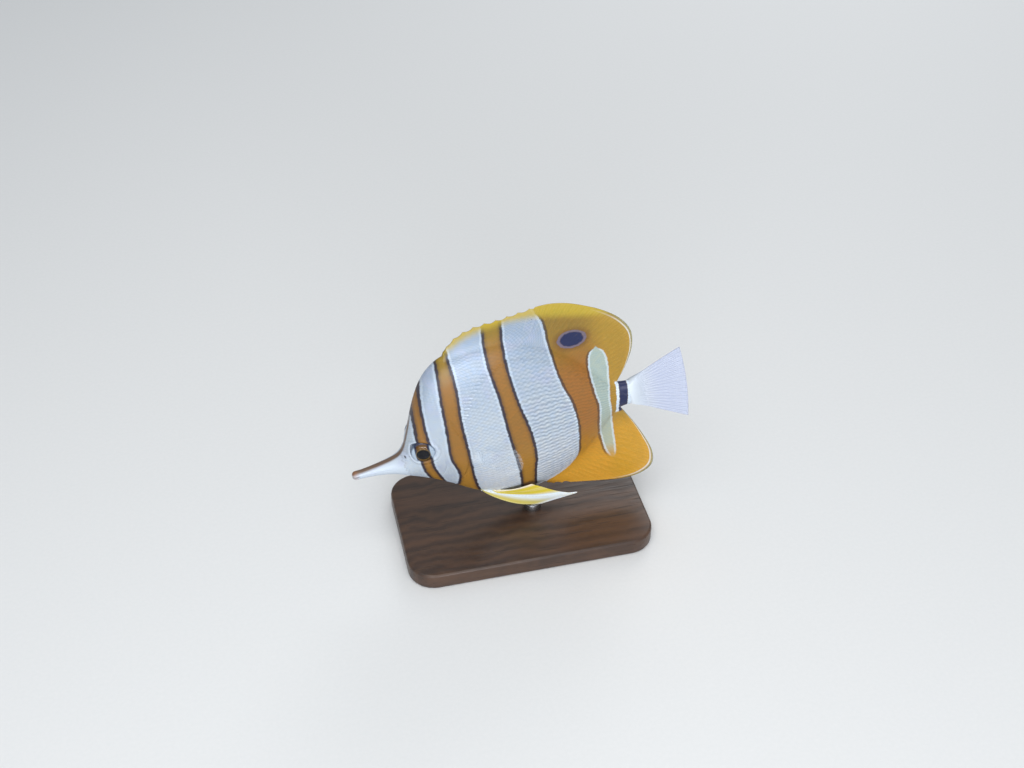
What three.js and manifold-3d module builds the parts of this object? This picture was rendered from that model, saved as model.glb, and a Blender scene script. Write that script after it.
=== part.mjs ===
// A copperband butterflyfish at life size, held over a flat base by one short rod.
// Millimetres. In the fish's own frame X runs from the snout tip to the tail, Z is up and
// the fish's left side faces -Y. Its sizes are percent of the standard length.

import * as THREE from "three";
import { mergeVertices } from "three/addons/utils/BufferGeometryUtils.js";
import Module from "manifold-3d";

const wasm = await Module();
wasm.setup();

// Driving dimensions

const STANDARD_LENGTH = 127;
const NOSE_DOWN = THREE.MathUtils.degToRad(10.3);
const GAP = 0.3;

// Slivers thinner than this, in millimetres, are smoothed out of a cut or joined piece
const SLIVER = 0.01;

// Corners closer than this are one corner
const WELD = 1e-4;

const FLESH_END = 101;
const TIP_ROUNDING = 1.3;
const TAIL_ROUNDING = 1.6;
const FACETS = { ringsOfFlesh: 48, roundFlesh: 28, eye: 12, nostril: 4, spine: 6, rod: 18, collar: 28 };

// The rings of the flesh lie closer together at its ends: this share of them is spread evenly
const EVEN_SHARE = 0.6;

// Where the back or belly is steep, growing the flesh all round lifts it at most this much more
const STEEPEST_LIFT = 2.4;

// Cutting slabs are this wide, in percent, which is wider than the fish
const SLAB_WIDE = 60;

const BACK = [
  [0, -2.4], [1.2, -1.5], [4, -1.5], [10, -0.9], [15, 0], [18, 1.4], [20.2, 4.4], [22.4, 9.6],
  [24.6, 15.4], [27.5, 22.4], [30.9, 28.8], [34.4, 33], [39, 36.2], [46, 37.8], [54, 37.9],
  [62, 36.4], [70, 32.8], [78, 26.6], [86, 17.2], [92, 8.8], [95, 6.2], [98, 5.5], [101, 5.8],
];
const BELLY = [
  [0, -3.9], [1.2, -4.7], [4, -4.8], [10, -5.6], [15, -6.9], [20, -9.4], [25, -13], [30, -17],
  [35, -21.6], [40, -26], [46, -29.4], [52, -31], [58, -31.8], [63, -31.7], [70, -29.6],
  [78, -24.6], [86, -16.2], [92, -8.4], [95, -5.6], [98, -4.9], [101, -5.2],
];
const HALF_WIDTH = [
  [0, 1.0], [1.2, 1.35], [4, 1.5], [10, 2.1], [15, 3.1], [19, 4.6], [22, 5.8], [26, 6.9],
  [31, 7.7], [37, 8.5], [44, 9.0], [52, 8.9], [60, 8.2], [68, 7.1], [76, 5.8], [84, 4.4],
  [90, 3.2], [95, 2.5], [98, 2.3], [101, 1.9],
];
const KEEN = [[0, 1], [16, 1], [30, 1.25], [88, 1.3], [96, 1.1], [101, 1]];

const GILL_COVER = { x: 35.5, z: 0, long: 6.5, high: 12, swell: 0.45 };

const EYE = { x: 26, z: 4.4, across: 9, deep: 5, proud: 1.35, turn: 9 };
const NOSTRILS = [
  { x: 19.6, z: 1.6, across: 0.75 },
  { x: 21.1, z: 2.6, across: 0.6 },
];
const MOUTH = { back: 3.2, z: -3.1, drop: -0.25, open: 0.32 };

const SNOUT_CUT = [[19.2, 60], [18.6, 4], [17.4, -6], [16.6, -60]];
const GILL_CUT = [
  [39.8, 60], [39.2, 34], [36.8, 23], [37.2, 14], [39.7, 7], [40.1, 0], [38.4, -8], [34.4, -14.4],
  [29.6, -19], [28, -60],
];
const PEDUNCLE_CUT = [[93, 60], [92.4, 0], [93, -60]];

const TAIL_BEND = { from: 61, at: 118.5, aside: 5.6 };

const BASE = { long: 112, wide: 66, thick: 8, corner: 12, bevel: 1.2 };
const ROD = { at: 59.6, radius: 1.8, sunk: 6 };
const COLLAR = { outer: 4.2, high: 3.2, lip: 0.8 };
const CLEAR_OF_BASE = 6;

const LOOKS = {
  skin: { color: 0xc3cdd6, roughness: 0.38, metalness: 0.05 },
  yellowFin: { color: 0xd8a52a, roughness: 0.45, metalness: 0 },
  clearFin: { color: 0xcdd8e4, roughness: 0.3, metalness: 0 },
  eye: { color: 0x1b2233, roughness: 0.08, metalness: 0 },
  base: { color: 0x3b2a20, roughness: 0.45, metalness: 0 },
  steel: { color: 0xb8bbbe, roughness: 0.3, metalness: 1 },
};

// Measures and curves

const pc = (share) => (share * STANDARD_LENGTH) / 100;

// A curve through points in rising order, with the slope of each taken from its neighbours.
function smoothThrough(points) {
  const last = points.length - 1;
  const slopes = points.map((_, i) => {
    const [xa, za] = points[Math.max(0, i - 1)];
    const [xb, zb] = points[Math.min(last, i + 1)];
    return (zb - za) / (xb - xa);
  });
  return (x) => {
    if (x <= points[0][0]) return points[0][1];
    if (x >= points[last][0]) return points[last][1];
    const i = points.findIndex((point) => point[0] > x) - 1;
    const [x0, z0] = points[i];
    const [x1, z1] = points[i + 1];
    const span = x1 - x0;
    const t = (x - x0) / span;
    const s = 1 - t;
    return (
      z0 * s * s * (1 + 2 * t) +
      z1 * t * t * (3 - 2 * t) +
      slopes[i] * span * t * s * s -
      slopes[i + 1] * span * t * t * s
    );
  };
}

const back = smoothThrough(BACK);
const belly = smoothThrough(BELLY);
const halfWidth = smoothThrough(HALF_WIDTH);
const keen = smoothThrough(KEEN);

// Solids from geometry, and back again

function welded(geometry) {
  const bare = new THREE.BufferGeometry();
  bare.setAttribute("position", geometry.getAttribute("position"));
  bare.setIndex(geometry.getIndex());
  return mergeVertices(bare, WELD);
}

function solidOf(geometry) {
  const whole = welded(geometry);
  return new wasm.Manifold(
    new wasm.Mesh({
      numProp: 3,
      vertProperties: new Float32Array(whole.getAttribute("position").array),
      triVerts: new Uint32Array(whole.getIndex().array),
    }),
  );
}

function largestPiece(solid) {
  const pieces = solid.decompose();
  return pieces.reduce((best, piece) => (piece.volume() > best.volume() ? piece : best));
}

function geometryOf(solid) {
  const mesh = largestPiece(solid.asOriginal().simplify(SLIVER)).getMesh();
  const geometry = new THREE.BufferGeometry();
  geometry.setAttribute("position", new THREE.BufferAttribute(mesh.vertProperties, 3));
  geometry.setIndex(new THREE.BufferAttribute(mesh.triVerts, 1));
  return geometry;
}

// Turns a closed surface the right way out, from the sign of the volume that it holds.
function facedOutwards(geometry) {
  const place = geometry.getAttribute("position");
  const index = geometry.getIndex();
  const [a, b, c] = [new THREE.Vector3(), new THREE.Vector3(), new THREE.Vector3()];
  let volume = 0;
  for (let i = 0; i < index.count; i += 3) {
    a.fromBufferAttribute(place, index.getX(i));
    b.fromBufferAttribute(place, index.getX(i + 1));
    c.fromBufferAttribute(place, index.getX(i + 2));
    volume += a.dot(b.cross(c));
  }
  if (volume < 0) index.array.reverse();
  return geometry;
}

// The body's flesh: a sphere drawn out along the profiles

function endRounding(x) {
  const fromTip = THREE.MathUtils.clamp(x / TIP_ROUNDING, 0, 1);
  const fromTail = THREE.MathUtils.clamp((FLESH_END - x) / TAIL_ROUNDING, 0, 1);
  return Math.sqrt(fromTip * (2 - fromTip) * fromTail * (2 - fromTail));
}

function slopeAt(profile, x) {
  const step = 0.5;
  return (profile(x + step) - profile(x - step)) / (2 * step);
}

// A point of the skin at x percent, turned by angle round the body from its left side, with
// grow in millimetres added all round.
function skinPoint(x, angle, grow, swell) {
  const round = endRounding(x);
  const rise = Math.sin(angle);
  const side = Math.cos(angle);
  const middle = (back(x) + belly(x)) / 2;
  const tall = ((back(x) - belly(x)) / 2) * round;
  const edge = rise > 0 ? back : belly;
  const lift = grow * Math.min(STEEPEST_LIFT, Math.hypot(1, slopeAt(edge, x)));
  const z = middle + tall * rise;
  const cover = Math.exp(
    -(((x - GILL_COVER.x) / GILL_COVER.long) ** 2) - ((z - GILL_COVER.z) / GILL_COVER.high) ** 2,
  );
  const wide = (halfWidth(x) + swell * cover) * round * Math.abs(side) ** keen(x);
  return new THREE.Vector3(
    pc(x),
    -Math.sign(side) * (pc(wide) + grow * round * Math.abs(side)),
    pc(z) + lift * round * rise,
  );
}

function flesh(grow, swell) {
  const geometry = new THREE.SphereGeometry(1, FACETS.roundFlesh, FACETS.ringsOfFlesh);
  const place = geometry.getAttribute("position");
  const point = new THREE.Vector3();
  for (let i = 0; i < place.count; i += 1) {
    point.fromBufferAttribute(place, i);
    const along = Math.acos(THREE.MathUtils.clamp(point.y, -1, 1)) / Math.PI;
    const crowded = (1 - Math.cos(Math.PI * along)) / 2;
    const eased = THREE.MathUtils.lerp(crowded, along, EVEN_SHARE);
    const angle = Math.atan2(point.z, point.x);
    const end = grow * (2 * along - 1);
    const skin = skinPoint(FLESH_END * eased, angle, grow, swell);
    place.setXYZ(i, skin.x + end, skin.y, skin.z);
  }
  return solidOf(facedOutwards(geometry));
}

// The space between two cuts seen from the side, each kept half a gap clear
function between(front, rear) {
  const outline = [
    ...front.map(([x, z]) => new THREE.Vector2(pc(x) + GAP / 2, pc(z))),
    ...[...rear].reverse().map(([x, z]) => new THREE.Vector2(pc(x) - GAP / 2, pc(z))),
  ];
  const depth = pc(SLAB_WIDE);
  const slab = new THREE.ExtrudeGeometry(new THREE.Shape(outline), {
    depth,
    bevelEnabled: false,
  });
  slab.translate(0, 0, -depth / 2);
  slab.rotateX(Math.PI / 2);
  return solidOf(slab);
}

// An ellipsoid of half axes in millimetres, at a place in the fish's frame
function bead(halfAxes, at, turn, fine) {
  const ball = new THREE.SphereGeometry(1, 2 * fine, fine);
  ball.rotateX(Math.PI / 2);
  ball.scale(halfAxes.x, halfAxes.y, halfAxes.z);
  ball.rotateZ(turn);
  ball.translate(at.x, at.y, at.z);
  return solidOf(ball);
}

// Where the skin of the side at x, z percent lies: how far it is out from the middle plane
function sideOut(x, z) {
  const middle = (back(x) + belly(x)) / 2;
  const tall = (back(x) - belly(x)) / 2;
  const rise = THREE.MathUtils.clamp((z - middle) / tall, -1, 1);
  return halfWidth(x) * (1 - rise * rise) ** (keen(x) / 2);
}

function eyeBall(side, grow) {
  const out = pc(sideOut(EYE.x, EYE.z) + EYE.proud - EYE.deep / 2);
  const wide = pc(EYE.across / 2) + grow;
  const halfAxes = new THREE.Vector3(wide, pc(EYE.deep / 2) + grow, wide);
  const at = new THREE.Vector3(pc(EYE.x), side * out, pc(EYE.z));
  const turn = side * THREE.MathUtils.degToRad(EYE.turn);
  return bead(halfAxes, at, turn, FACETS.eye);
}

// The slit between the lips, a thin wedge that is widest at the front
function mouthSlit() {
  const half = pc(MOUTH.open);
  const outline = [
    new THREE.Vector2(pc(-1), pc(MOUTH.z) + half),
    new THREE.Vector2(pc(-1), pc(MOUTH.z) - half),
    new THREE.Vector2(pc(MOUTH.back), pc(MOUTH.z + MOUTH.drop)),
  ];
  const depth = pc(SLAB_WIDE);
  const slit = new THREE.ExtrudeGeometry(new THREE.Shape(outline), {
    depth,
    bevelEnabled: false,
  });
  slit.translate(0, 0, -depth / 2);
  slit.rotateX(Math.PI / 2);
  return solidOf(slit);
}

// Fins: one closed sheet, with each ray raised in its own surface

// The sheet's middle and the way across it come from place(u, v), its half thickness from
// half(u, v). Both faces are split into triangles alike.
function sheet(us, vs, place, half) {
  const columns = us.length;
  const rows = vs.length;
  const points = [];
  for (const side of [1, -1]) {
    for (const v of vs) {
      for (const u of us) {
        const { middle, across } = place(u, v);
        points.push(...middle.clone().addScaledVector(across, side * half(u, v)).toArray());
      }
    }
  }
  const face = new THREE.PlaneGeometry(1, 1, columns - 1, rows - 1).getIndex().array;
  const far = columns * rows;
  const triangles = [...face, ...[...face].reverse().map((i) => i + far)];
  const rim = [];
  for (let i = 0; i < columns - 1; i += 1) rim.push(i);
  for (let j = 0; j < rows - 1; j += 1) rim.push(j * columns + columns - 1);
  for (let i = columns - 1; i > 0; i -= 1) rim.push((rows - 1) * columns + i);
  for (let j = rows - 1; j > 0; j -= 1) rim.push(j * columns);
  rim.forEach((a, i) => {
    const b = rim[(i + 1) % rim.length];
    triangles.push(a, b, a + far, b, b + far, a + far);
  });
  const geometry = new THREE.BufferGeometry();
  geometry.setAttribute("position", new THREE.Float32BufferAttribute(points, 3));
  geometry.setIndex(triangles);
  return solidOf(facedOutwards(geometry));
}

const steps = (count) => Array.from({ length: count + 1 }, (_, i) => i / count);

// 1 on the middle of each of the rays that share the span 0 to 1, and 0 between them
const onRay = (u, rays) => Math.abs(Math.sin(Math.PI * rays * u));

function halfThick(fin, v, onRidge) {
  const sheetHalf = THREE.MathUtils.lerp(fin.rootHalf, fin.tipHalf, Math.min(1, v / ROOT_THINS_BY));
  return sheetHalf + fin.rayRise * onRidge * THREE.MathUtils.lerp(1, RIDGE_KEPT_AT_TIP, v);
}

const thickness = (fin) => (u, v) => halfThick(fin, v, onRay(u, fin.rays));

// A fin in the middle plane: its root follows the flesh, sunk a little, and its rays reach to
// points spread along the margin, each bowed a little backwards.
function middleFin(fin, profile, sink) {
  const margin = new THREE.SplineCurve(
    fin.margin.map(([x, z]) => new THREE.Vector2(pc(x), pc(z))),
  );
  const place = (u, v) => {
    const x = THREE.MathUtils.lerp(fin.root[0], fin.root[1], u);
    const root = new THREE.Vector2(pc(x), pc(profile(x) + sink));
    const tip = margin.getPointAt(u);
    const ray = tip.clone().sub(root);
    const bow = fin.bow * Math.sin(Math.PI * v);
    const middle = root.clone().addScaledVector(ray, v);
    middle.addScaledVector(new THREE.Vector2(-ray.y, ray.x), bow);
    const notched = u * fin.rays < fin.spines - 0.5 ? fin.notch : 0;
    middle.lerp(root, notched * (1 - onRay(u, fin.rays)) * v);
    return {
      middle: new THREE.Vector3(middle.x, 0, middle.y),
      across: new THREE.Vector3(0, 1, 0),
    };
  };
  return { place, solid: sheet(steps(2 * fin.rays), steps(fin.rows), place, thickness(fin)) };
}

// A spine: a slim cone with its root sunk in the fin and its tip just past the margin
function spine(from, to, radius) {
  const long = from.distanceTo(to);
  const cone = new THREE.ConeGeometry(radius, long, FACETS.spine, 1);
  cone.translate(0, long / 2, 0);
  const along = to.clone().sub(from).normalize();
  const upright = new THREE.Vector3(0, 1, 0);
  cone.applyQuaternion(new THREE.Quaternion().setFromUnitVectors(upright, along));
  cone.translate(from.x, from.y, from.z);
  return solidOf(cone);
}

function withSpines(fin, built) {
  let solid = built.solid;
  for (let k = 0; k < fin.spines; k += 1) {
    const u = (k + 0.5) / fin.rays;
    const from = built.place(u, SPINE_FROM).middle;
    const to = built.place(u, 1).middle;
    const past = to.clone().sub(from).setLength(fin.spinePast).add(to);
    solid = solid.add(spine(from, past, fin.spineRadius));
  }
  return solid;
}

// Fins: sizes along the fish in percent, thicknesses and rises in millimetres

const ROOT_SUNK = 2.65;
const ROOT_THINS_BY = 0.56;
const RIDGE_KEPT_AT_TIP = 0.3;
const SPINE_FROM = 0.08;

const DORSAL_SPINES = {
  rays: 9, spines: 9, rows: 4, root: [39.8, 67.2], bow: -0.02, notch: 0.11,
  margin: [[41.4, 38.6], [46.5, 43], [53, 44.9], [61, 45], [68, 45.5], [73.4, 45.9]],
  rootHalf: 1.3, tipHalf: 0.28, rayRise: 0.1, spineRadius: 0.75, spinePast: 0.5,
};
const DORSAL_RAYS = {
  rays: 28, spines: 0, rows: 4, root: [67.5, 93.4], bow: -0.03, notch: 0,
  margin: [
    [73.7, 45.9], [78.5, 45.7], [84, 44.2], [89.5, 41.5], [95, 38], [99.8, 33.4], [102.7, 27.6],
    [102.4, 21], [100.4, 15.2], [97.9, 10.4], [95.6, 7],
  ],
  rootHalf: 1.3, tipHalf: 0.26, rayRise: 0.22,
};
const ANAL = {
  rays: 22, spines: 3, rows: 4, root: [62.6, 93.4], bow: 0.03, notch: 0.12,
  margin: [
    [65.4, -33.8], [70, -35.4], [77, -37.4], [84, -39.2], [91.6, -40.6], [98, -40],
    [102.6, -36.6], [103.6, -30.2], [101.7, -22.2], [98.8, -14], [95.8, -7.2],
  ],
  rootHalf: 1.3, tipHalf: 0.26, rayRise: 0.22, spineRadius: 0.85, spinePast: 0.7,
};
const CAUDAL = {
  rays: 17, rows: 4, rootX: 98.8, rootHigh: 4.2, rearX: 118.6, rearHigh: 16, crown: 0.9,
  opening: 0.9, rootHalf: 1.25, tipHalf: 0.25, rayRise: 0.24,
};
const PECTORAL = {
  rays: 14, rows: 4, upper: [40.8, -0.2], lower: [42, -7], sink: 1.3, long: 21.5,
  shorterBelow: 0.55, shorterAbove: 0.22, along: [0.83, -0.3, 0.47], fan: [0.34, -0.62],
  cupped: 0.9, settled: 2.4, rootHalf: 0.8, tipHalf: 0.25, rayRise: 0.16,
};
const PELVIC = {
  rows: 6, from: [41, -24.8], to: [44.2, -26.6], rootOut: 1.9,
  tips: [
    [60.5, -38, 4.6], [73.4, -36.2, 6], [70.4, -34.9, 6], [66.6, -32.6, 5.9],
    [62.8, -29.4, 5.8], [58.8, -26, 5.7],
  ],
  droop: 2.6, droopKeptBehind: 0.2, bulge: 1.2, rootHalf: 0.9, tipHalf: 0.25, rayRise: 0.2,
  leading: { at: 0.03, inner: [0.06, 0.55], outer: [0.36, 0.97], innerRadius: 0.7, outerRadius: 0.56 },
};

function caudalFin() {
  const fin = CAUDAL;
  const place = (u, v) => {
    const level = 1 - 2 * u;
    const rear = fin.rearX - fin.crown * level * level;
    const x = THREE.MathUtils.lerp(fin.rootX, rear, v);
    const high = THREE.MathUtils.lerp(fin.rootHigh, fin.rearHigh, v ** fin.opening);
    const middleZ = (back(FLESH_END) + belly(FLESH_END)) / 2;
    return {
      middle: new THREE.Vector3(pc(x), 0, pc(middleZ + level * high)),
      across: new THREE.Vector3(0, 1, 0),
    };
  };
  return sheet(steps(2 * fin.rays), steps(fin.rows), place, thickness(fin));
}

// The paired fins are made on the left side and mirrored. Each is a fan of rays that curves,
// so the way across it is worked out at each point from its neighbours.
function fan(us, rows, point, half) {
  const nudge = 0.01;
  const place = (u, v) => {
    const du = point(Math.min(1, u + nudge), v).sub(point(Math.max(0, u - nudge), v));
    const dv = point(u, Math.min(1, v + nudge)).sub(point(u, Math.max(0, v - nudge)));
    return { middle: point(u, v), across: du.cross(dv).normalize() };
  };
  return sheet(us, steps(rows), place, half);
}

function pectoralFin() {
  const fin = PECTORAL;
  const point = (u, v) => {
    const x = THREE.MathUtils.lerp(fin.upper[0], fin.lower[0], u);
    const z = THREE.MathUtils.lerp(fin.upper[1], fin.lower[1], u);
    const root = new THREE.Vector3(pc(x), -pc(sideOut(x, z) - fin.sink), pc(z));
    const lean = THREE.MathUtils.lerp(fin.fan[0], fin.fan[1], u);
    const ray = new THREE.Vector3(fin.along[0], -fin.along[2], fin.along[1] + lean);
    const shorter = fin.shorterBelow * u ** 1.6 + fin.shorterAbove * (1 - u) ** 4;
    const middle = root.addScaledVector(ray.normalize(), pc(fin.long) * (1 - shorter) * v);
    middle.y += fin.settled * v * v - fin.cupped * Math.sin(Math.PI * u) * v;
    return middle;
  };
  return fan(steps(2 * fin.rays), fin.rows, point, thickness(fin));
}

function pelvicFin() {
  const fin = PELVIC;
  const rays = fin.tips.length;
  const tips = new THREE.CatmullRomCurve3(
    fin.tips.map(([x, z, out]) => new THREE.Vector3(pc(x), -pc(out), pc(z))),
  );
  const point = (u, v) => {
    const x = THREE.MathUtils.lerp(fin.from[0], fin.to[0], u);
    const z = THREE.MathUtils.lerp(fin.from[1], fin.to[1], u);
    const root = new THREE.Vector3(pc(x), -pc(fin.rootOut), pc(z));
    const tip = tips.getPoint(u);
    const middle = root.clone().lerp(tip, v);
    const bowed = Math.sin(Math.PI * v);
    middle.z -= fin.droop * bowed * THREE.MathUtils.lerp(1, fin.droopKeptBehind, u);
    middle.y -= fin.bulge * bowed;
    return middle;
  };
  const half = (u, v) => halfThick(fin, v, Math.abs(Math.cos(Math.PI * (rays - 1) * u)));
  const blade = fan(steps(2 * (rays - 1)), fin.rows, point, half);
  // The leading spine follows the blade's curve in two lengths
  const { at, inner, outer, innerRadius, outerRadius } = fin.leading;
  const [innerFrom, innerTo, outerFrom, outerTo] = [...inner, ...outer].map((v) => point(at, v));
  return blade.add(spine(innerFrom, innerTo, innerRadius)).add(spine(outerFrom, outerTo, outerRadius));
}

// The tail is swung a little to the left, more and more towards its end
function swungAside(geometry) {
  const place = geometry.getAttribute("position");
  const from = pc(TAIL_BEND.from);
  const reach = pc(TAIL_BEND.at) - from;
  for (let i = 0; i < place.count; i += 1) {
    const share = Math.max(0, (place.getX(i) - from) / reach);
    place.setY(i, place.getY(i) - pc(TAIL_BEND.aside) * share * share);
  }
  return geometry;
}

// The fish

const ALL_AHEAD = [[-20, 60], [-20, -60]];
const ALL_BEHIND = [[140, 60], [140, -60]];

const plainFlesh = flesh(0, 0);
const coveredFlesh = flesh(0, GILL_COVER.swell);
const keepOut = flesh(GAP, GILL_COVER.swell);

function snout() {
  return plainFlesh.intersect(between(ALL_AHEAD, SNOUT_CUT)).subtract(mouthSlit());
}

function head() {
  let solid = coveredFlesh.intersect(between(SNOUT_CUT, GILL_CUT));
  for (const side of [-1, 1]) {
    solid = solid.subtract(eyeBall(side, GAP));
    for (const nostril of NOSTRILS) {
      const radius = pc(nostril.across / 2);
      const out = pc(sideOut(nostril.x, nostril.z));
      const at = new THREE.Vector3(pc(nostril.x), side * out, pc(nostril.z));
      solid = solid.subtract(bead(new THREE.Vector3(radius, radius, radius), at, 0, FACETS.nostril));
    }
  }
  return solid;
}

const fishSolids = {
  snout: [snout(), LOOKS.skin],
  head: [head(), LOOKS.skin],
  trunk: [plainFlesh.intersect(between(GILL_CUT, PEDUNCLE_CUT)), LOOKS.skin],
  tail_stem: [plainFlesh.intersect(between(PEDUNCLE_CUT, ALL_BEHIND)), LOOKS.skin],
  eye_left: [eyeBall(-1, 0), LOOKS.eye],
  eye_right: [eyeBall(1, 0), LOOKS.eye],
  dorsal_fin_spines: [
    withSpines(DORSAL_SPINES, middleFin(DORSAL_SPINES, back, -ROOT_SUNK)).subtract(keepOut),
    LOOKS.yellowFin,
  ],
  dorsal_fin_rays: [
    middleFin(DORSAL_RAYS, back, -ROOT_SUNK).solid.subtract(keepOut),
    LOOKS.yellowFin,
  ],
  anal_fin: [
    withSpines(ANAL, middleFin(ANAL, belly, ROOT_SUNK)).subtract(keepOut),
    LOOKS.yellowFin,
  ],
  caudal_fin: [caudalFin().subtract(keepOut), LOOKS.clearFin],
};
const pectoral = pectoralFin().subtract(keepOut);
const pelvic = pelvicFin().subtract(keepOut);
fishSolids.pectoral_fin_left = [pectoral, LOOKS.clearFin];
fishSolids.pelvic_fin_left = [pelvic, LOOKS.yellowFin];
fishSolids.pectoral_fin_right = [pectoral.mirror([0, 1, 0]), LOOKS.clearFin];
fishSolids.pelvic_fin_right = [pelvic.mirror([0, 1, 0]), LOOKS.yellowFin];

const fish = new THREE.Group();
const turned = new THREE.Matrix4().makeRotationY(-NOSE_DOWN);
const reach = new THREE.Box3();
for (const [name, [solid, look]] of Object.entries(fishSolids)) {
  const geometry = swungAside(geometryOf(solid));
  const mesh = new THREE.Mesh(geometry, new THREE.MeshStandardMaterial(look));
  mesh.name = name;
  fish.add(mesh);
  const level = geometry.clone().applyMatrix4(turned);
  reach.union(new THREE.Box3().setFromBufferAttribute(level.getAttribute("position")));
}
fish.rotation.y = -NOSE_DOWN;
fish.position.set(
  -(reach.min.x + reach.max.x) / 2,
  0,
  BASE.thick + CLEAR_OF_BASE - reach.min.z,
);
fish.updateMatrixWorld(true);

// The stand

function standBase() {
  const flat = new THREE.Shape();
  const [x, y, r] = [BASE.long / 2 - BASE.bevel, BASE.wide / 2 - BASE.bevel, BASE.corner];
  flat.moveTo(-x + r, -y);
  flat.lineTo(x - r, -y);
  flat.absarc(x - r, -y + r, r, -Math.PI / 2, 0, false);
  flat.lineTo(x, y - r);
  flat.absarc(x - r, y - r, r, 0, Math.PI / 2, false);
  flat.lineTo(-x + r, y);
  flat.absarc(-x + r, y - r, r, Math.PI / 2, Math.PI, false);
  flat.lineTo(-x, -y + r);
  flat.absarc(-x + r, -y + r, r, Math.PI, Math.PI * 1.5, false);
  const slab = new THREE.ExtrudeGeometry(flat, {
    depth: BASE.thick - 2 * BASE.bevel,
    bevelEnabled: true,
    bevelThickness: BASE.bevel,
    bevelSize: BASE.bevel,
    bevelSegments: 2,
    curveSegments: 6,
  });
  slab.translate(0, 0, BASE.bevel);
  return welded(slab);
}

const rodTop = new THREE.Vector3(pc(ROD.at), 0, pc(belly(ROD.at))).applyMatrix4(fish.matrixWorld);

function standRod() {
  const foot = BASE.thick + GAP;
  const long = rodTop.z + pc(ROD.sunk) - foot;
  const rod = new THREE.CylinderGeometry(ROD.radius, ROD.radius, long, FACETS.rod);
  rod.rotateX(Math.PI / 2);
  rod.translate(rodTop.x, 0, foot + long / 2);
  const body = keepOut.transform(fish.matrixWorld.toArray());
  const pieces = solidOf(rod).subtract(body).decompose();
  const lowest = pieces.reduce((best, piece) =>
    piece.boundingBox().min[2] < best.boundingBox().min[2] ? piece : best,
  );
  return geometryOf(lowest);
}

function standCollar() {
  const inner = ROD.radius + GAP;
  const low = BASE.thick + GAP;
  const profile = [
    [inner, low], [COLLAR.outer, low], [COLLAR.outer, low + COLLAR.high - COLLAR.lip],
    [COLLAR.outer - COLLAR.lip, low + COLLAR.high], [inner, low + COLLAR.high], [inner, low],
  ].map(([r, z]) => new THREE.Vector2(r, z));
  const ring = new THREE.LatheGeometry(profile, FACETS.collar);
  ring.rotateX(Math.PI / 2);
  ring.translate(rodTop.x, 0, 0);
  return facedOutwards(welded(ring));
}

const model = new THREE.Group();
model.add(fish);
const standPieces = {
  stand_base: [standBase(), LOOKS.base],
  stand_rod: [standRod(), LOOKS.steel],
  stand_collar: [standCollar(), LOOKS.steel],
};
for (const [name, [geometry, look]] of Object.entries(standPieces)) {
  const mesh = new THREE.Mesh(geometry, new THREE.MeshStandardMaterial(look));
  mesh.name = name;
  model.add(mesh);
}

export default model;
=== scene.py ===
import math

import bmesh
import bpy
import numpy as np
from mathutils import Matrix, Vector

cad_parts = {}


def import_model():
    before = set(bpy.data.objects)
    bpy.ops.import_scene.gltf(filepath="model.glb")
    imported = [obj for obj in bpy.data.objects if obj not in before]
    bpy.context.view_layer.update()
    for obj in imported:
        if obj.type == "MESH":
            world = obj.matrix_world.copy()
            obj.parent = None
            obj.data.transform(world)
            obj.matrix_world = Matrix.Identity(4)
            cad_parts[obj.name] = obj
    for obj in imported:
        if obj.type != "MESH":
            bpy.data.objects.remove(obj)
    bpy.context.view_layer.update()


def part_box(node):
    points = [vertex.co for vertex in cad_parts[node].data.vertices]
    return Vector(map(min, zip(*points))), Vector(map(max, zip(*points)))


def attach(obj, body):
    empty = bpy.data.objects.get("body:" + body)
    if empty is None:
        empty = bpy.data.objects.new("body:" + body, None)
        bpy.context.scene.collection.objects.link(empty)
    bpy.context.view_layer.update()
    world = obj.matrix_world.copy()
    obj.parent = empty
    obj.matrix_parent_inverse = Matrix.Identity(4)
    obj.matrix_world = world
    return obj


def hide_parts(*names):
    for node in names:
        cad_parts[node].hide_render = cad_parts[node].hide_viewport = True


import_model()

# Measures
# The fish's own frame: X from the snout tip to the tail, Z up, its left side towards -Y.
# Places in it are in percent of the standard length, thicknesses and rises in millimetres.

STANDARD_LENGTH = 127.0
MILLI = 0.001
NOSE_DOWN = math.radians(10.3)
FLESH_END = 101.0
TIP_ROUNDING, TAIL_ROUNDING = 1.3, 2.6
TAIL_BEND = {"from": 61.0, "at": 118.5, "aside": 5.6}

BACK = [
    (0, -2.4), (1.2, -1.5), (4, -1.5), (10, -0.9), (15, 0), (18, 1.4), (20.2, 4.4),
    (22.4, 9.6), (24.6, 15.4), (27.5, 22.4), (30.9, 28.8), (34.4, 33), (39, 36.2),
    (46, 37.8), (54, 37.9), (62, 36.4), (70, 32.8), (78, 26.6), (86, 17.2), (92, 8.8),
    (95, 6.2), (98, 5.5), (101, 5.8),
]
BELLY = [
    (0, -3.9), (1.2, -4.7), (4, -4.8), (10, -5.6), (15, -6.9), (20, -9.4), (25, -13),
    (30, -17), (35, -21.6), (40, -26), (46, -29.4), (52, -31), (58, -31.8), (63, -31.7),
    (70, -29.6), (78, -24.6), (86, -16.2), (92, -8.4), (95, -5.6), (98, -4.9), (101, -5.2),
]
HALF_WIDTH = [
    (0, 1.0), (1.2, 1.35), (4, 1.5), (10, 2.1), (15, 3.1), (19, 4.6), (22, 5.8), (26, 6.9),
    (31, 7.7), (37, 8.5), (44, 9.0), (52, 8.9), (60, 8.2), (68, 7.1), (76, 5.8), (84, 4.4),
    (90, 3.2), (95, 2.5), (98, 2.3), (101, 1.9),
]
KEEN = [(0, 1), (16, 1), (30, 1.25), (88, 1.3), (96, 1.1), (101, 1)]
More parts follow.
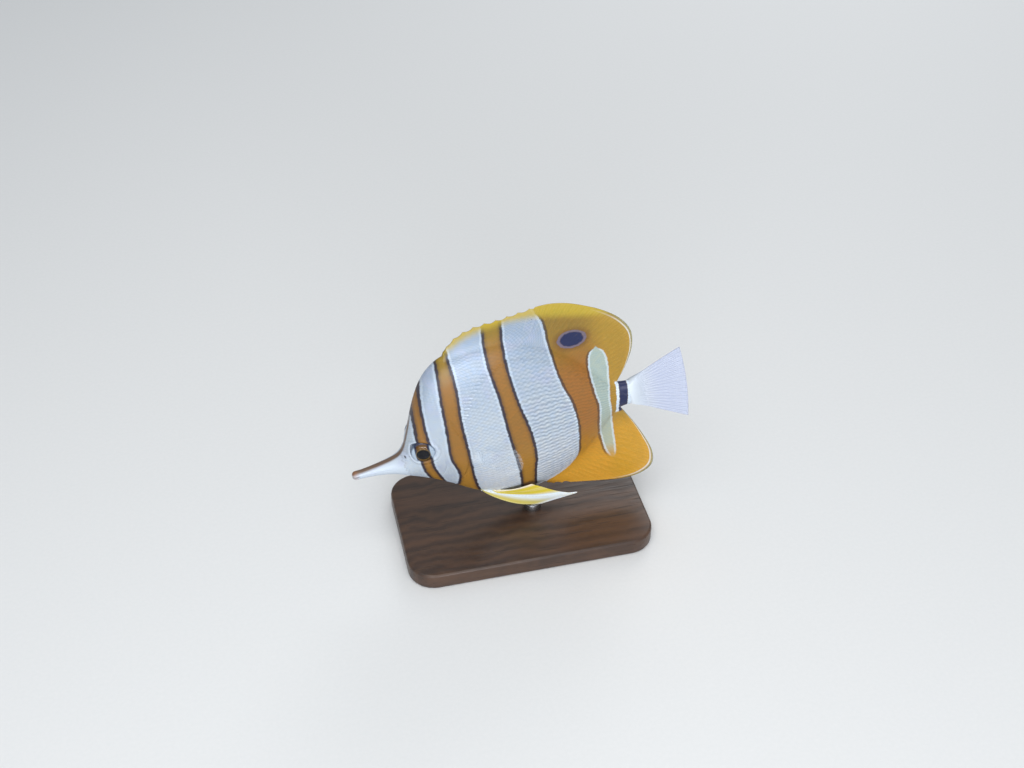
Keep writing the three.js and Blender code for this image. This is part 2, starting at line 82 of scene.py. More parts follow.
GILL_EDGE = [
    (-24, 27.5), (-19, 29.6), (-14.4, 34.4), (-8, 38.4), (0, 40.1), (7, 39.7), (14, 37.2),
    (23, 36.8),
]
CHEEK_EDGE = [(-14, 24.6), (-11, 28.2), (-6, 31.4), (0, 32.6), (8, 32.2), (14, 31.4)]
LATERAL_LINE = [
    (40.5, 14), (45, 22.5), (51, 28), (58, 30.2), (65, 29.2), (72, 25), (79, 18.4),
    (86, 10.6), (92, 4.2), (99, 0.6),
]

GILL_COVER = {"x": 35.5, "z": 0, "long": 6.5, "high": 12, "swell": 0.45}
EYE = {"x": 26.0, "z": 4.4, "across": 9.0, "deep": 5.0, "proud": 1.35, "turn": 9.0}
SOCKET = {
    "deep": 1.5, "wall": (3.4, 4.45), "rim": 0.2, "front_rim": 0.75, "rim_at": 4.85,
    "rim_wide": 0.45, "groove": 0.12, "groove_at": 5.75, "groove_wide": 0.35,
}
NOSTRILS = [(19.6, 1.6, 0.75), (21.1, 2.6, 0.6)]
NOSTRIL = {"deep": 0.75, "wide": 0.42, "rim": 0.2, "rim_at": 0.72, "rim_wide": 0.22}
MOUTH = {
    "back": 3.2, "z": -3.1, "drop": -0.25, "open": 0.32, "slit": 0.12, "slit_end": (2.4, 3.6),
    "cut": 0.7, "inward": 1.5, "corner": 1.6, "lip_at": 0.75, "lip_wide": 0.4, "lip": 0.16,
    "lip_end": (2.0, 3.4),
}
JAW_LINE = {"z": -3.4, "drop": -0.12, "wide": 0.3, "from": (2.4, 4), "to": (13, 17), "deep": 0.14}
FIN_BASE = {"x": 41.3, "z": -3.6, "long": 1.1, "high": 3.4, "rise": 0.45}


def smooth_through(points):
    """A curve through points in rising order, each slope taken from its neighbours."""
    xs = np.array([p[0] for p in points], float)
    zs = np.array([p[1] for p in points], float)
    before = np.maximum(np.arange(len(xs)) - 1, 0)
    after = np.minimum(np.arange(len(xs)) + 1, len(xs) - 1)
    slopes = (zs[after] - zs[before]) / (xs[after] - xs[before])

    def curve(x):
        x = np.clip(np.asarray(x, float), xs[0], xs[-1])
        i = np.clip(np.searchsorted(xs, x, side="right") - 1, 0, len(xs) - 2)
        span = xs[i + 1] - xs[i]
        t = (x - xs[i]) / span
        s = 1 - t
        return (
            zs[i] * s * s * (1 + 2 * t)
            + zs[i + 1] * t * t * (3 - 2 * t)
            + slopes[i] * span * t * s * s
            - slopes[i + 1] * span * t * t * s
        )

    return curve


back, belly, half_width, keen, gill_edge, cheek_edge, lateral_line = map(
    smooth_through, (BACK, BELLY, HALF_WIDTH, KEEN, GILL_EDGE, CHEEK_EDGE, LATERAL_LINE)
)

# The head's bony plates: each rises to its rear edge, with a groove behind it
HEAD_PLATES = [
    {
        "edge": gill_edge, "low": (-19, -15), "high": (12, 17), "step": (-0.25, 0.35), "fade": 5,
        "rise": 0.5, "groove": 0.35, "groove_at": -0.55, "groove_wide": 0.4,
    },
    {
        "edge": cheek_edge, "low": (-13, -10), "high": (7, 12), "step": (-0.2, 0.3), "fade": 2.5,
        "rise": 0.2, "groove": 0.14, "groove_at": -0.45, "groove_wide": 0.35,
    },
]


def pc(share):
    """Percent of the standard length as millimetres."""
    return share * STANDARD_LENGTH / 100


def as_percent(points):
    """Millimetres as percent of the standard length."""
    return points * 100 / STANDARD_LENGTH


def ease(low, high, value):
    """0 below low, 1 above high, and a smooth step between them."""
    t = np.clip((value - low) / (high - low), 0, 1)
    return t * t * (3 - 2 * t)


def hump(value, wide, at=0.0):
    """1 at one value, falling to nothing on both sides."""
    return np.exp(-(((value - at) / wide) ** 2))


# The skin's surface


def end_rounding(x):
    tip = np.clip(x / TIP_ROUNDING, 0, 1)
    tail = np.clip((FLESH_END - x) / TAIL_ROUNDING, 0, 1)
    return np.sqrt(tip * (2 - tip) * tail * (2 - tail))


def side_relief(x, z):
    """How far the forms of the head stand out from the plain side, in millimetres."""
    relief = np.zeros_like(x)
    for plate in HEAD_PLATES:
        in_front = plate["edge"](z) - x
        held = ease(*plate["low"], z) * (1 - ease(*plate["high"], z))
        swell = ease(*plate["step"], in_front) * np.exp(-np.maximum(in_front, 0) / plate["fade"])
        relief += plate["rise"] * swell * held
        relief -= plate["groove"] * hump(in_front, plate["groove_wide"], plate["groove_at"]) * held
    from_eye = np.hypot(x - EYE["x"], z - EYE["z"])
    relief -= SOCKET["deep"] * (1 - ease(*SOCKET["wall"], from_eye))
    rim = SOCKET["rim"] + SOCKET["front_rim"] * ease(0, EYE["across"] / 2, EYE["x"] - x)
    relief += rim * hump(from_eye, SOCKET["rim_wide"], SOCKET["rim_at"])
    relief -= SOCKET["groove"] * hump(from_eye, SOCKET["groove_wide"], SOCKET["groove_at"])
    for at_x, at_z, across in NOSTRILS:
        away = np.hypot(x - at_x, z - at_z) / across
        relief -= NOSTRIL["deep"] * hump(away, NOSTRIL["wide"])
        relief += NOSTRIL["rim"] * hump(away, NOSTRIL["rim_wide"], NOSTRIL["rim_at"])
    jaw = ease(*JAW_LINE["from"], x) * (1 - ease(*JAW_LINE["to"], x))
    relief -= JAW_LINE["deep"] * jaw * hump(z - JAW_LINE["drop"] * x, JAW_LINE["wide"], JAW_LINE["z"])
    base = hump(x, FIN_BASE["long"], FIN_BASE["x"]) * hump(z, FIN_BASE["high"], FIN_BASE["z"])
    return relief + FIN_BASE["rise"] * base


def skin_surface(x, angle):
    """Points of the skin, in millimetres, at x percent and turned by angle round the body
    from its left side."""
    rounded = end_rounding(x)
    side = np.cos(angle)
    middle = (back(x) + belly(x)) / 2
    z = middle + (back(x) - belly(x)) / 2 * rounded * np.sin(angle)
    cover = hump(x, GILL_COVER["long"], GILL_COVER["x"])
    cover = cover * hump(z, GILL_COVER["high"], GILL_COVER["z"])
    thin = np.abs(side) ** keen(x)
    out = pc((half_width(x) + GILL_COVER["swell"] * cover) * rounded * thin)
    out += side_relief(x, z) * ease(0, 0.5, np.abs(side)) * rounded
    from_mouth = z - MOUTH["z"] - MOUTH["drop"] * x / MOUTH["back"]
    gape = MOUTH["open"] * np.clip(1 - x / MOUTH["back"], 0, 1)
    slit = hump(from_mouth, MOUTH["slit"] + gape / 2) * (1 - ease(*MOUTH["slit_end"], x))
    lips = hump(np.abs(from_mouth), MOUTH["lip_wide"], MOUTH["lip_at"])
    lips = lips * (1 - ease(*MOUTH["lip_end"], x))
    out = out * (1 - MOUTH["cut"] * slit) + MOUTH["lip"] * lips * rounded
    inward = MOUTH["inward"] * slit * (1 - ease(0, MOUTH["corner"], x))
    return np.stack([pc(x + inward), -np.sign(side) * out, pc(z)], -1)


def swung_aside(points):
    share = (points[:, 0] - pc(TAIL_BEND["from"])) / pc(TAIL_BEND["at"] - TAIL_BEND["from"])
    bent = points.copy()
    bent[:, 1] -= pc(TAIL_BEND["aside"]) * np.maximum(share, 0) ** 2
    return bent


def nose_down(points):
    c, s = math.cos(NOSE_DOWN), math.sin(NOSE_DOWN)
    return points @ np.array([[c, 0, s], [0, 1, 0], [-s, 0, c]])


def side_out(x, z):
    """How far the plain side stands out from the middle plane, in percent."""
    middle = (back(x) + belly(x)) / 2
    tall = (back(x) - belly(x)) / 2
    rise = np.clip((z - middle) / tall, -1, 1)
    return half_width(x) * (1 - rise * rise) ** (keen(x) / 2)


def eye_middle(side):
    out = side_out(EYE["x"], EYE["z"]) + EYE["proud"] - EYE["deep"] / 2
    return np.array([[pc(EYE["x"]), side * pc(float(out)), pc(EYE["z"])]])


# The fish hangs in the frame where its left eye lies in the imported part
eye_low, eye_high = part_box("eye_left")
SNOUT_TIP = np.array((eye_low + eye_high) / 2) / MILLI - nose_down(eye_middle(-1))[0]


def in_frame(points):
    """Points of the fish's own frame, in millimetres, as metres in the part's frame."""
    return (nose_down(swung_aside(points)) + SNOUT_TIP) * MILLI


# Building pieces

# Edges that turn by more than this stay sharp in the shading
SHARP = math.radians(35)


def coordinates(bm):
    return np.array([v.co for v in bm.verts], float).reshape(-1, 3)


def set_layer(mesh, name, values):
    """Gives each point of the mesh its number, or its three numbers."""
    kind, field = ("FLOAT", "value") if np.ndim(values) == 1 else ("FLOAT_VECTOR", "vector")
    layer = mesh.attributes.new(name, kind, "POINT")
    layer.data.foreach_set(field, np.asarray(values, np.float32).ravel())


def place_piece(name, mesh, material, replaced=()):
    """Makes the finished mesh a piece of the model."""
    mesh.materials.append(material)
    made = bpy.data.objects.new(name, mesh)
    bpy.context.scene.collection.objects.link(made)
    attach(made, "root")
    if replaced:
        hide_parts(*replaced)


def piece(name, bm, own_points, material, replaced=(), layers=None):
    """Makes a piece of the fish from bm. own_points are its places in the fish's own frame,
    which the markings follow."""
    for vert, place in zip(bm.verts, in_frame(own_points)):
        vert.co = place
    # The faces' own normals lead recalc_face_normals, so they follow the moved points first
    bm.normal_update()
    bmesh.ops.recalc_face_normals(bm, faces=bm.faces)
    mesh = bpy.data.meshes.new(name)
    bm.to_mesh(mesh)
    bm.free()
    mesh.shade_smooth()
    set_layer(mesh, "lie", as_percent(own_points))
    for layer, values in (layers or {}).items():
        set_layer(mesh, layer, values)
    place_piece(name, mesh, material, replaced)


# Finishes


def linear(code):
    """sRGB hex to the linear colour that a shader takes."""
    shares = [int(code[i : i + 2], 16) / 255 for i in (1, 3, 5)]
    return [
        c / 12.92 if c <= 0.04045 else ((c + 0.055) / 1.055) ** 2.4 for c in shares
    ] + [1.0]


# The share of a painted line's width that is full
LINE_CORE = 0.45


class Recipe:
    """The nodes of one finish or pattern, with the colour that has been mixed so far. A share
    is a number or a mask from 0 to 1, and a paint is sRGB hex or a mixed colour."""

    def __init__(self, tree, material=None):
        self.tree, self.material = tree, material
        self.colour = None

    def add(self, kind, inputs=None, out=0, **settings):
        """Adds a node with its settings, joins or sets its inputs, and gives one output."""
        node = self.tree.nodes.new("ShaderNode" + kind)
        for name, value in settings.items():
            setattr(node, name, value)
        for key, value in (inputs or {}).items():
            if isinstance(value, bpy.types.NodeSocket):
                self.tree.links.new(value, node.inputs[key])
            else:
                value = linear(value) if isinstance(value, str) else value
                node.inputs[key].default_value = value
        return node.outputs[out] if node.outputs else node

    def read(self, layer):
        """The three numbers that a layer of the mesh gives each point."""
        vector = self.add("Attribute", None, "Vector", attribute_name=layer)
        return self.add("SeparateXYZ", {0: vector}).node.outputs

    def product(self, *shares):
        whole = shares[0]
        for share in shares[1:]:
            whole = self.add("Math", {0: whole, 1: share}, operation="MULTIPLY")
        return whole

    def rest_of(self, *shares):
        """What the product of the shares leaves of 1."""
        whole = {0: self.product(*shares), 1: -1.0, 2: 1.0}
        return self.add("Math", whole, operation="MULTIPLY_ADD")

    def edge(self, value, low, high):
        """0 at low and 1 at high, with a smooth step between them."""
        ends = (low, high, 0.0, 1.0) if low < high else (high, low, 1.0, 0.0)
        step = dict(zip(("From Min", "From Max", "To Min", "To Max"), ends))
        return self.add("MapRange", {"Value": value} | step, interpolation_type="SMOOTHSTEP")

    def line(self, distance, middle, wide):
        """1 on a thin line at middle, 0 further than wide from it."""
        off = self.add("Math", {0: distance, 1: middle}, operation="SUBTRACT")
        off = self.add("Math", {0: off}, operation="ABSOLUTE")
        return self.edge(off, wide, wide * LINE_CORE)

    def curve(self, value, points, lows, highs):
        """A smooth curve through points, each a value and what it gives. lows and highs bound
        both."""
        ends = {"From Min": lows[0], "From Max": highs[0], "To Min": 0.0, "To Max": 1.0}
        share = self.add("MapRange", {"Value": value} | ends)
        drawn = self.add("FloatCurve", {"Value": share})
        places = ((np.array(sorted(points)) - lows) / np.subtract(highs, lows)).tolist()
        places = [(0.0, places[0][1]), *places, (1.0, places[-1][1])]
        line = drawn.node.mapping.curves[0]
        while len(line.points) < len(places):
            line.points.new(0.5, 0.5)
        for point, place in zip(line.points, places):
            point.location = place
            point.handle_type = "AUTO"
        drawn.node.mapping.update()
        ends = {"To Min": lows[1], "To Max": highs[1]}
        return self.add("MapRange", {"Value": drawn} | ends, clamp=False)

    def blend(self, below, above, *shares, how="MIX"):
        """One paint over another, as strong as the product of the shares."""
        mixed = {"Factor": self.product(*shares), 6: below, 7: above}
        return self.add("Mix", mixed, 2, data_type="RGBA", blend_type=how)

    def lay(self, paint, *shares, how="MIX"):
        """Lays a paint over the colour so far."""
        self.colour = self.blend(self.colour, paint, *shares, how=how)

    def finish(self, inputs):
        """Gives the colour its gloss and relief, and gives the material."""
        shader = self.add("BsdfPrincipled", {"Base Color": self.colour} | inputs)
        self.add("OutputMaterial", {"Surface": shader})
        return self.material


SILVER_WHITE = "#D0D9E1"
BLUISH_BACK = "#95A7BC"
COPPER = "#9A6A26"
COPPER_DEEP = "#6B4413"
GOLD = "#D69A2E"
LEMON = "#BFA52C"
NAVY = "#121833"
EDGE_BROWN = "#2A2328"
EDGE_PALE = "#E2EEF8"
PALE_GREEN = "#A9B7AD"
BLUE_BLACK = "#0C1C4C"
WARM_COPPER = "#9E6624"
OLIVE = "#8C7424"

# Edges of the markings as (x, z), in percent
BANDS = [
    {
        "front": [
            (29.6, 31.5), (27.2, 25.7), (25.0, 12.6), (24.6, 6.5), (24.3, -3), (25.2, -9),
            (26.6, -16),
        ],
        "rear": [
            (31.6, 31.5), (30.1, 25.7), (28.9, 12.6), (28.9, 6.5), (28.2, -3), (29.2, -9),
            (30.4, -16),
        ],
    },
    {
        "front": [
            (38, 39.2), (36.1, 24.4), (35, 10.9), (34.2, -0.8), (35.4, -8.7), (35.0, -14),
            (33.2, -22),
        ],
        "rear": [
            (42.3, 38), (42.3, 26.9), (41, 13.7), (40.8, 4.3), (40.7, -3), (40.5, -12.9),
            (40.8, -20.6), (41.6, -28),
        ],
    },
    {
        "front": [
            (55.6, 46.3), (54, 33.9), (54.8, 16.9), (55, 2.8), (55.6, -9.6), (55.8, -18.3),
            (55.4, -31),
        ],
        "rear": [
            (61.8, 44), (60.3, 31.5), (61, 14.5), (62.9, -0.4), (62.9, -12.7), (61.6, -20.7),
            (61.0, -31),
        ],
    },
]
REAR_ZONE = [
    (72.6, 47), (74.9, 38.7), (75.1, 29.9), (76.3, 15.9), (78.6, 5.8), (79.2, -4.1),
    (78.5, -13.6), (77.0, -22), (72.5, -28.0), (66, -31.2), (60, -34.5),
]
PATCH_FRONT = [
    (90.4, 24), (88.2, 21.5), (87.0, 17.3), (86.9, 7.8), (87.6, 0.4), (86.7, -8.9),
    (86.8, -18.8), (87.8, -26), (90, -31),
]
PATCH_REAR = [
    (90.4, 24), (92.6, 21.4), (93.5, 16.3), (92.9, 8), (91.9, 3.1), (91.7, -4), (91.6, -10),
    (91.4, -18), (91.0, -26), (90, -31),
]
TAIL_BAR = {"front": [(95.7, 7), (94.2, -7)], "rear": [(98.7, 7), (97.2, -7)]}
BREAST_EDGE = [(61, -30.8), (52, -29.4), (46, -27.6), (40, -24.2), (35, -20), (30, -15.6)]
YELLOW_FROM = [
    (39, 37.6), (43.7, 39.6), (51, 42.4), (61.3, 43.4), (71.3, 42.6), (81, 40.2), (92, 37.5),
]
OCELLUS = {"x": 83.2, "z": 29.2, "long": 4.0, "high": 3.0}
# Where the painted highlight behind the pectoral fin's base lies, in percent
PAINTED_HIGHLIGHT = {"x": 44.0, "z": -5.5, "flatness": 1.3}
# The values between which the edges' curves are drawn
EDGE_LOWS, EDGE_HIGHS = (-50.0, 0.0), (60.0, 130.0)
YELLOW_LOWS, YELLOW_HIGHS = (30.0, 30.0), (110.0, 50.0)


def banded_markings_and_painted_light():
    """The colour of the skin, scales and fins by where they lie on the fish, with a few places of
    painted light and shade, and how far pigment covers the silver there. Distances are in percent, and
    the last number of a layer is its strength."""
    tree = bpy.data.node_groups.new("banded_markings_and_painted_light", "ShaderNodeTree")
    tree.interface.new_socket("Colour", in_out="OUTPUT", socket_type="NodeSocketColor")
    tree.interface.new_socket("Pigment", in_out="OUTPUT", socket_type="NodeSocketFloat")
    mix = Recipe(tree)
    lie = mix.add("Attribute", None, "Vector", attribute_name="lie")
    aside = mix.add("Math", {0: mix.read("lie")[1]}, operation="ABSOLUTE")
    # Each edge wanders by up to 0.45 percent
    ragged = {"Vector": lie, "Scale": 0.7, "Detail": 3.0, "Roughness": 0.6}
    ragged = mix.add("TexNoise", ragged, "Color")
    off = {0: ragged, 1: (0.9, 0.9, 0.9), 2: (-0.45, -0.45, -0.45)}
    off = mix.add("VectorMath", off, operation="MULTIPLY_ADD")
    lie = mix.add("VectorMath", {0: lie, 1: off}, operation="ADD")
    x, _, z = mix.add("SeparateXYZ", {0: lie}).node.outputs

    def behind(edge):
        """How far behind an edge a place lies, in percent."""
        edge_x = mix.curve(z, [(at_z, at_x) for at_x, at_z in edge], EDGE_LOWS, EDGE_HIGHS)
        return mix.add("Math", {0: x, 1: edge_x}, operation="SUBTRACT")

    def before(edge):
        return mix.product(behind(edge), -1.0)

    def from_place(place_x, place_z, point):
        place = mix.add("CombineXYZ", {"X": place_x, "Z": place_z})
        away = {0: place, 1: (point[0], 0.0, point[1])}
        return mix.add("VectorMath", away, "Value", operation="DISTANCE")

    # How far above the line where the dorsal fin turns yellow
    yellow_z = mix.curve(x, YELLOW_FROM, YELLOW_LOWS, YELLOW_HIGHS)
    margin = mix.add("Math", {0: z, 1: yellow_z}, operation="SUBTRACT")

    # Silvery flanks, a little duller towards the back
    mix.colour = mix.blend(SILVER_WHITE, BLUISH_BACK, mix.edge(z, -4.0, 40.0), 0.75)
    pearl = mix.add("TexNoise", {"Vector": lie, "Scale": 0.16, "Detail": 2.0})
    mix.lay("#BFC3DA", mix.edge(pearl, 0.45, 0.75), 0.45)
    # Painted light: a brighter lower flank behind the head
    mix.lay("#EEF2F6", mix.edge(z, 0.0, -18.0), mix.edge(x, 38.0, 44.0), 0.75)

    # The dark stripe down the forehead and along the top of the snout
    stripe = (mix.edge(aside, 1.5, 0.6), mix.edge(x, 33.0, 29.0), mix.edge(z, -2.7, -1.9))
    mix.lay(COPPER_DEEP, *stripe, 0.9)
    mix.lay("#B0703A", mix.edge(x, 3.2, 1.4), 0.35)

    # Copper bands between dark and pale lines
    copper = mix.blend(COPPER, "#94801F", mix.edge(margin, -11.0, -1.0), 0.6)
    copper = mix.blend(copper, "#B5822E", mix.edge(z, 6.0, -18.0), 0.7)
    pigment = 0.0
    for band in BANDS:
        edges = behind(band["front"]), before(band["rear"])
        inside = mix.product(*(mix.edge(edge, -0.25, 0.25) for edge in edges))
        mix.lay(copper, inside)
        pigment = mix.add("Math", {0: pigment, 1: inside}, operation="MAXIMUM")
        for edge in edges:
            mix.lay(EDGE_BROWN, mix.edge(edge, 2.0, 0.3), inside, 0.5)
            mix.lay(NAVY, mix.line(edge, 0.25, 0.66), 0.85)
            mix.lay(EDGE_PALE, mix.line(edge, -0.62, 0.5), 0.38)

    # The last band, which runs out over the soft dorsal and the anal fin
    zone = behind(REAR_ZONE)
    in_zone = mix.edge(zone, -0.3, 0.3)
    beyond_body = mix.edge(x, 86.0, 95.0)
    last = mix.blend(WARM_COPPER, OLIVE, mix.edge(z, 14.0, 34.0), 0.75)
    last = mix.blend(last, GOLD, mix.edge(z, -2.0, -30.0))
    last = mix.blend(last, "#B08A28", beyond_body, 0.85)
    last = mix.blend(last, "#D69C28", mix.edge(z, -8.0, -16.0), beyond_body, 0.8)
    mix.lay(last, in_zone)
    pigment = mix.add("Math", {0: pigment, 1: in_zone}, operation="MAXIMUM")
    on_body = mix.edge(z, -24.0, -18.0)
    mix.lay(EDGE_BROWN, mix.line(zone, 0.3, 0.6), on_body, 0.75)
    mix.lay(EDGE_PALE, mix.line(zone, -0.6, 0.55), on_body, 0.48)

    # The pale patch behind it
    patch_front, patch_rear = behind(PATCH_FRONT), before(PATCH_REAR)
    in_patch = mix.add("Math", {0: patch_front, 1: patch_rear}, operation="MINIMUM")
    beside = mix.product(mix.edge(z, 23.4, 21.5), mix.edge(z, -29.0, -25.0))
    mix.lay(EDGE_BROWN, mix.line(patch_front, -0.35, 0.7), beside, 0.6)
    pale = mix.blend(PALE_GREEN, "#B9B795", mix.edge(z, 4.0, -22.0), 0.6)
    mix.lay(pale, mix.edge(in_patch, -0.2, 0.35), mix.edge(z, -30.0, -20.0))
    mix.lay(EDGE_PALE, mix.line(in_patch, 0.3, 0.5), beside, 0.5)

    # Yellow along the dorsal fin, and along the breast
    yellow = mix.edge(margin, -2.4, 1.5)
    mix.lay(LEMON, yellow, 0.88)
    pigment = mix.add("Math", {0: pigment, 1: yellow}, operation="MAXIMUM")
    breast = mix.edge(before(BREAST_EDGE), -0.8, 2.2)
    mix.lay("#C6AE34", breast, mix.edge(z, -16.0, -20.0), mix.edge(x, 62.0, 56.0), 0.8)

    # The eye spot on the soft dorsal fin
    spot_x = mix.product(x, 1 / OCELLUS["long"])
    spot_z = mix.product(z, 1 / OCELLUS["high"])
    middle = OCELLUS["x"] / OCELLUS["long"], OCELLUS["z"] / OCELLUS["high"]
    from_spot = from_place(spot_x, spot_z, middle)
    mix.lay(COPPER_DEEP, mix.edge(from_spot, 1.9, 1.15), 0.65)
    mix.lay("#5F78AE", mix.line(from_spot, 1.1, 0.18), 0.4)
    mix.lay(BLUE_BLACK, mix.edge(from_spot, 1.06, 0.9))

    # The dark bar round the tail stem
    bar_front, bar_rear = behind(TAIL_BAR["front"]), before(TAIL_BAR["rear"])
    in_bar = mix.add("Math", {0: bar_front, 1: bar_rear}, operation="MINIMUM")
    stem = mix.edge(mix.add("Math", {0: z}, operation="ABSOLUTE"), 7.4, 6.4)
    mix.lay(SILVER_WHITE, mix.edge(bar_rear, 0.0, -0.4), stem)
    mix.lay(EDGE_PALE, mix.line(in_bar, -0.5, 0.75), stem)
    mix.lay(BLUE_BLACK, mix.edge(in_bar, -0.15, 0.25), stem)

    # Painted shade in the nostril pits
    for at_x, at_z, across in NOSTRILS:
        away = from_place(x, z, (at_x, at_z))
        mix.lay("#2B2A33", mix.edge(away, 0.62 * across, 0.3 * across), 0.85)

    # Painted highlight: a pale gleam of light behind the pectoral fin's base
    away = from_place(x, mix.product(z, PAINTED_HIGHLIGHT["flatness"]), (PAINTED_HIGHLIGHT["x"], PAINTED_HIGHLIGHT["z"]))
    mix.lay("#E6EEF6", mix.edge(away, 5.5, 1.5), mix.rest_of(pigment), 0.7)

    output = tree.nodes.new("NodeGroupOutput")
    tree.links.new(mix.colour, output.inputs["Colour"])
    tree.links.new(pigment, output.inputs["Pigment"])
    return tree


MARKINGS_AND_PAINTED_LIGHT = banded_markings_and_painted_light()


def new_material(name):
    made = bpy.data.materials.new(name)
    made.use_nodes = True
    made.node_tree.nodes.clear()
    return Recipe(made.node_tree, made)


def moist_skin():
    """Thin moist skin over silvery flesh: a soft gleam with a clear wet coat and very fine
    grain."""
    mix = new_material("moist_fish_skin")
    markings_with_painted_light, pigment = mix.add("Group", node_tree=MARKINGS_AND_PAINTED_LIGHT).node.outputs
    lie = mix.add("Attribute", None, "Vector", attribute_name="lie")
    # Pores and tiny scales 0.6 mm across, drawn at 0.8 mm so that they show
    cells = {"Vector": lie, "Scale": 1.6, "Smoothness": 0.6, "Randomness": 0.7}
    pores = mix.add("TexVoronoi", cells, "Distance", feature="SMOOTH_F1")
    grain = mix.add("TexNoise", {"Vector": lie, "Scale": 4.0, "Detail": 4.0})
    mix.colour = "#7E7468"
    mix.lay(markings_with_painted_light, mix.edge(mix.edge(grain, 0.2, 0.8), -0.9, 0.35))
    mix.lay("#EAEDF1", 1.0, how="MULTIPLY")
    return mix.finish({
        "Metallic": mix.add("MapRange", {"Value": pigment, "To Min": 0.2, "To Max": 0.02}),
        "Roughness": mix.edge(grain, -0.7, 1.5),
        "IOR": 1.4,
        "Coat Weight": 0.2,
        "Coat Roughness": 0.22,
        "Normal": mix.add("Bump", {"Strength": 0.5, "Distance": 0.0002, "Height": pores}),
    })


# The row number of scales that lie on no row of the flank
OFF_THE_FLANK = -100.0


def ctenoid_scales():
    """Thin overlapping scales of guanine-silvered skin: each has painted shade on its covered root and
    sides, so that its comb-like free edge shows brighter, and a faint pearl that changes from scale to
    scale."""
    mix = new_material("silvered_ctenoid_scales")
    mix.colour, pigment = mix.add("Group", node_tree=MARKINGS_AND_PAINTED_LIGHT).node.outputs
    along, across, chance = mix.read("plate")
    # Painted shade on the root and sides of each scale, where the scales before and beside it lie over
    # it
    from_middle = mix.add("Math", {0: across}, operation="ABSOLUTE")
    free = (mix.edge(along, 0.3, 0.85), mix.edge(from_middle, 0.62, 0.3))
    plain = mix.rest_of(pigment, 0.6)
    mix.lay(mix.blend("#93A0AC", "#FFFFFF", *free), plain, 0.28, how="MULTIPLY")
    # Painted shade: fine wavy dark lines between the rows of scales along the flank, clearest before
    # the last band
    lie = mix.add("Attribute", None, "Vector", attribute_name="lie")
    x, _, z = mix.add("SeparateXYZ", {0: lie}).node.outputs
    sway = mix.add("TexNoise", {"Vector": lie, "Scale": 0.32, "Detail": 1.5})
    count = mix.add("Attribute", None, "Fac", attribute_name="row")
    row = mix.add("Math", {0: sway, 1: 1.3, 2: count}, operation="MULTIPLY_ADD")
    row = mix.line(mix.add("Math", {0: row}, operation="FRACT"), 0.5, 0.32)
    on_flank = mix.edge(count, OFF_THE_FLANK + 10, OFF_THE_FLANK + 20)
    clearest = mix.product(mix.edge(x, 58.0, 66.0), mix.edge(z, 30.0, 4.0))
    depth = mix.add("MapRange", {"Value": clearest, "To Min": 0.1, "To Max": 0.46})
    mix.lay("#8496AC", row, on_flank, depth, plain, how="MULTIPLY")
    mix.lay(mix.blend("#E2E9F2", "#F2F0EC", chance), 0.8, how="MULTIPLY")
    # Growth rings, really 0.03 mm apart, drawn 0.15 to 0.3 mm apart so that they show
    rings = mix.add("Math", {0: mix.product(along, 62.0)}, operation="SINE")
    return mix.finish({
        "Metallic": mix.add("MapRange", {"Value": pigment, "To Min": 0.24, "To Max": 0.03}),
        "Roughness": mix.add("MapRange", {"Value": chance, "To Min": 0.38, "To Max": 0.48}),
        "IOR": 1.42,
        "Coat Weight": 0.2,
        "Coat Roughness": 0.2,
        "Normal": mix.add("Bump", {"Strength": 0.25, "Distance": 0.00003, "Height": rings}),
    })


def cane_joints(mix, out, on_ray, dark, share, often, narrow=0.5):
    """Darkens the joints of the rays, and gives the relief that they make."""
    joint = mix.add("Math", {0: mix.product(out, often)}, operation="SINE")
    joint = mix.product(mix.edge(joint, narrow, 1.0), on_ray)
    mix.lay(dark, joint, share)
    return mix.add("Bump", {"Strength": 0.3, "Distance": 0.00005, "Height": joint})


def rayed_fin():
    """Membrane between bony rays: opaque and pigmented on the body side, thin and clearer at
    the margin, with each ray a paler line that is jointed like a cane."""
    mix = new_material("rayed_fin_membrane")
    mix.colour = mix.add("Group", node_tree=MARKINGS_AND_PAINTED_LIGHT)
    _, out, ridge = mix.read("fin")
    soft = mix.add("Attribute", None, "Fac", attribute_name="soft")
    mix.lay("#EEEFF0", 1.0, how="MULTIPLY")
    mix.lay("#E8D27A", mix.edge(ridge, 0.35, 1.0), 0.07)
    joints = cane_joints(mix, out, mix.edge(ridge, 0.4, 0.9), "#5A3E14", 0.12, often=190.0, narrow=0.55)
    # The thin pale line inside the clear hem of the soft fins
    mix.lay("#D5E0E6", mix.line(out, 0.955, 0.016), soft, 0.6)
    clear = mix.product(mix.edge(out, 0.96, 0.985), soft)
    mix.lay("#8C8A50", clear, 0.85)
    return mix.finish({
        "Roughness": mix.edge(ridge, 2.6, -1.6),
        "IOR": 1.42,
        "Alpha": mix.rest_of(clear, 0.45),
        "Subsurface Weight": 0.12,
        "Subsurface Radius": (0.0015, 0.001, 0.0006),
        "Coat Weight": 0.25,
        "Coat Roughness": 0.18,
        "Normal": joints,
    })


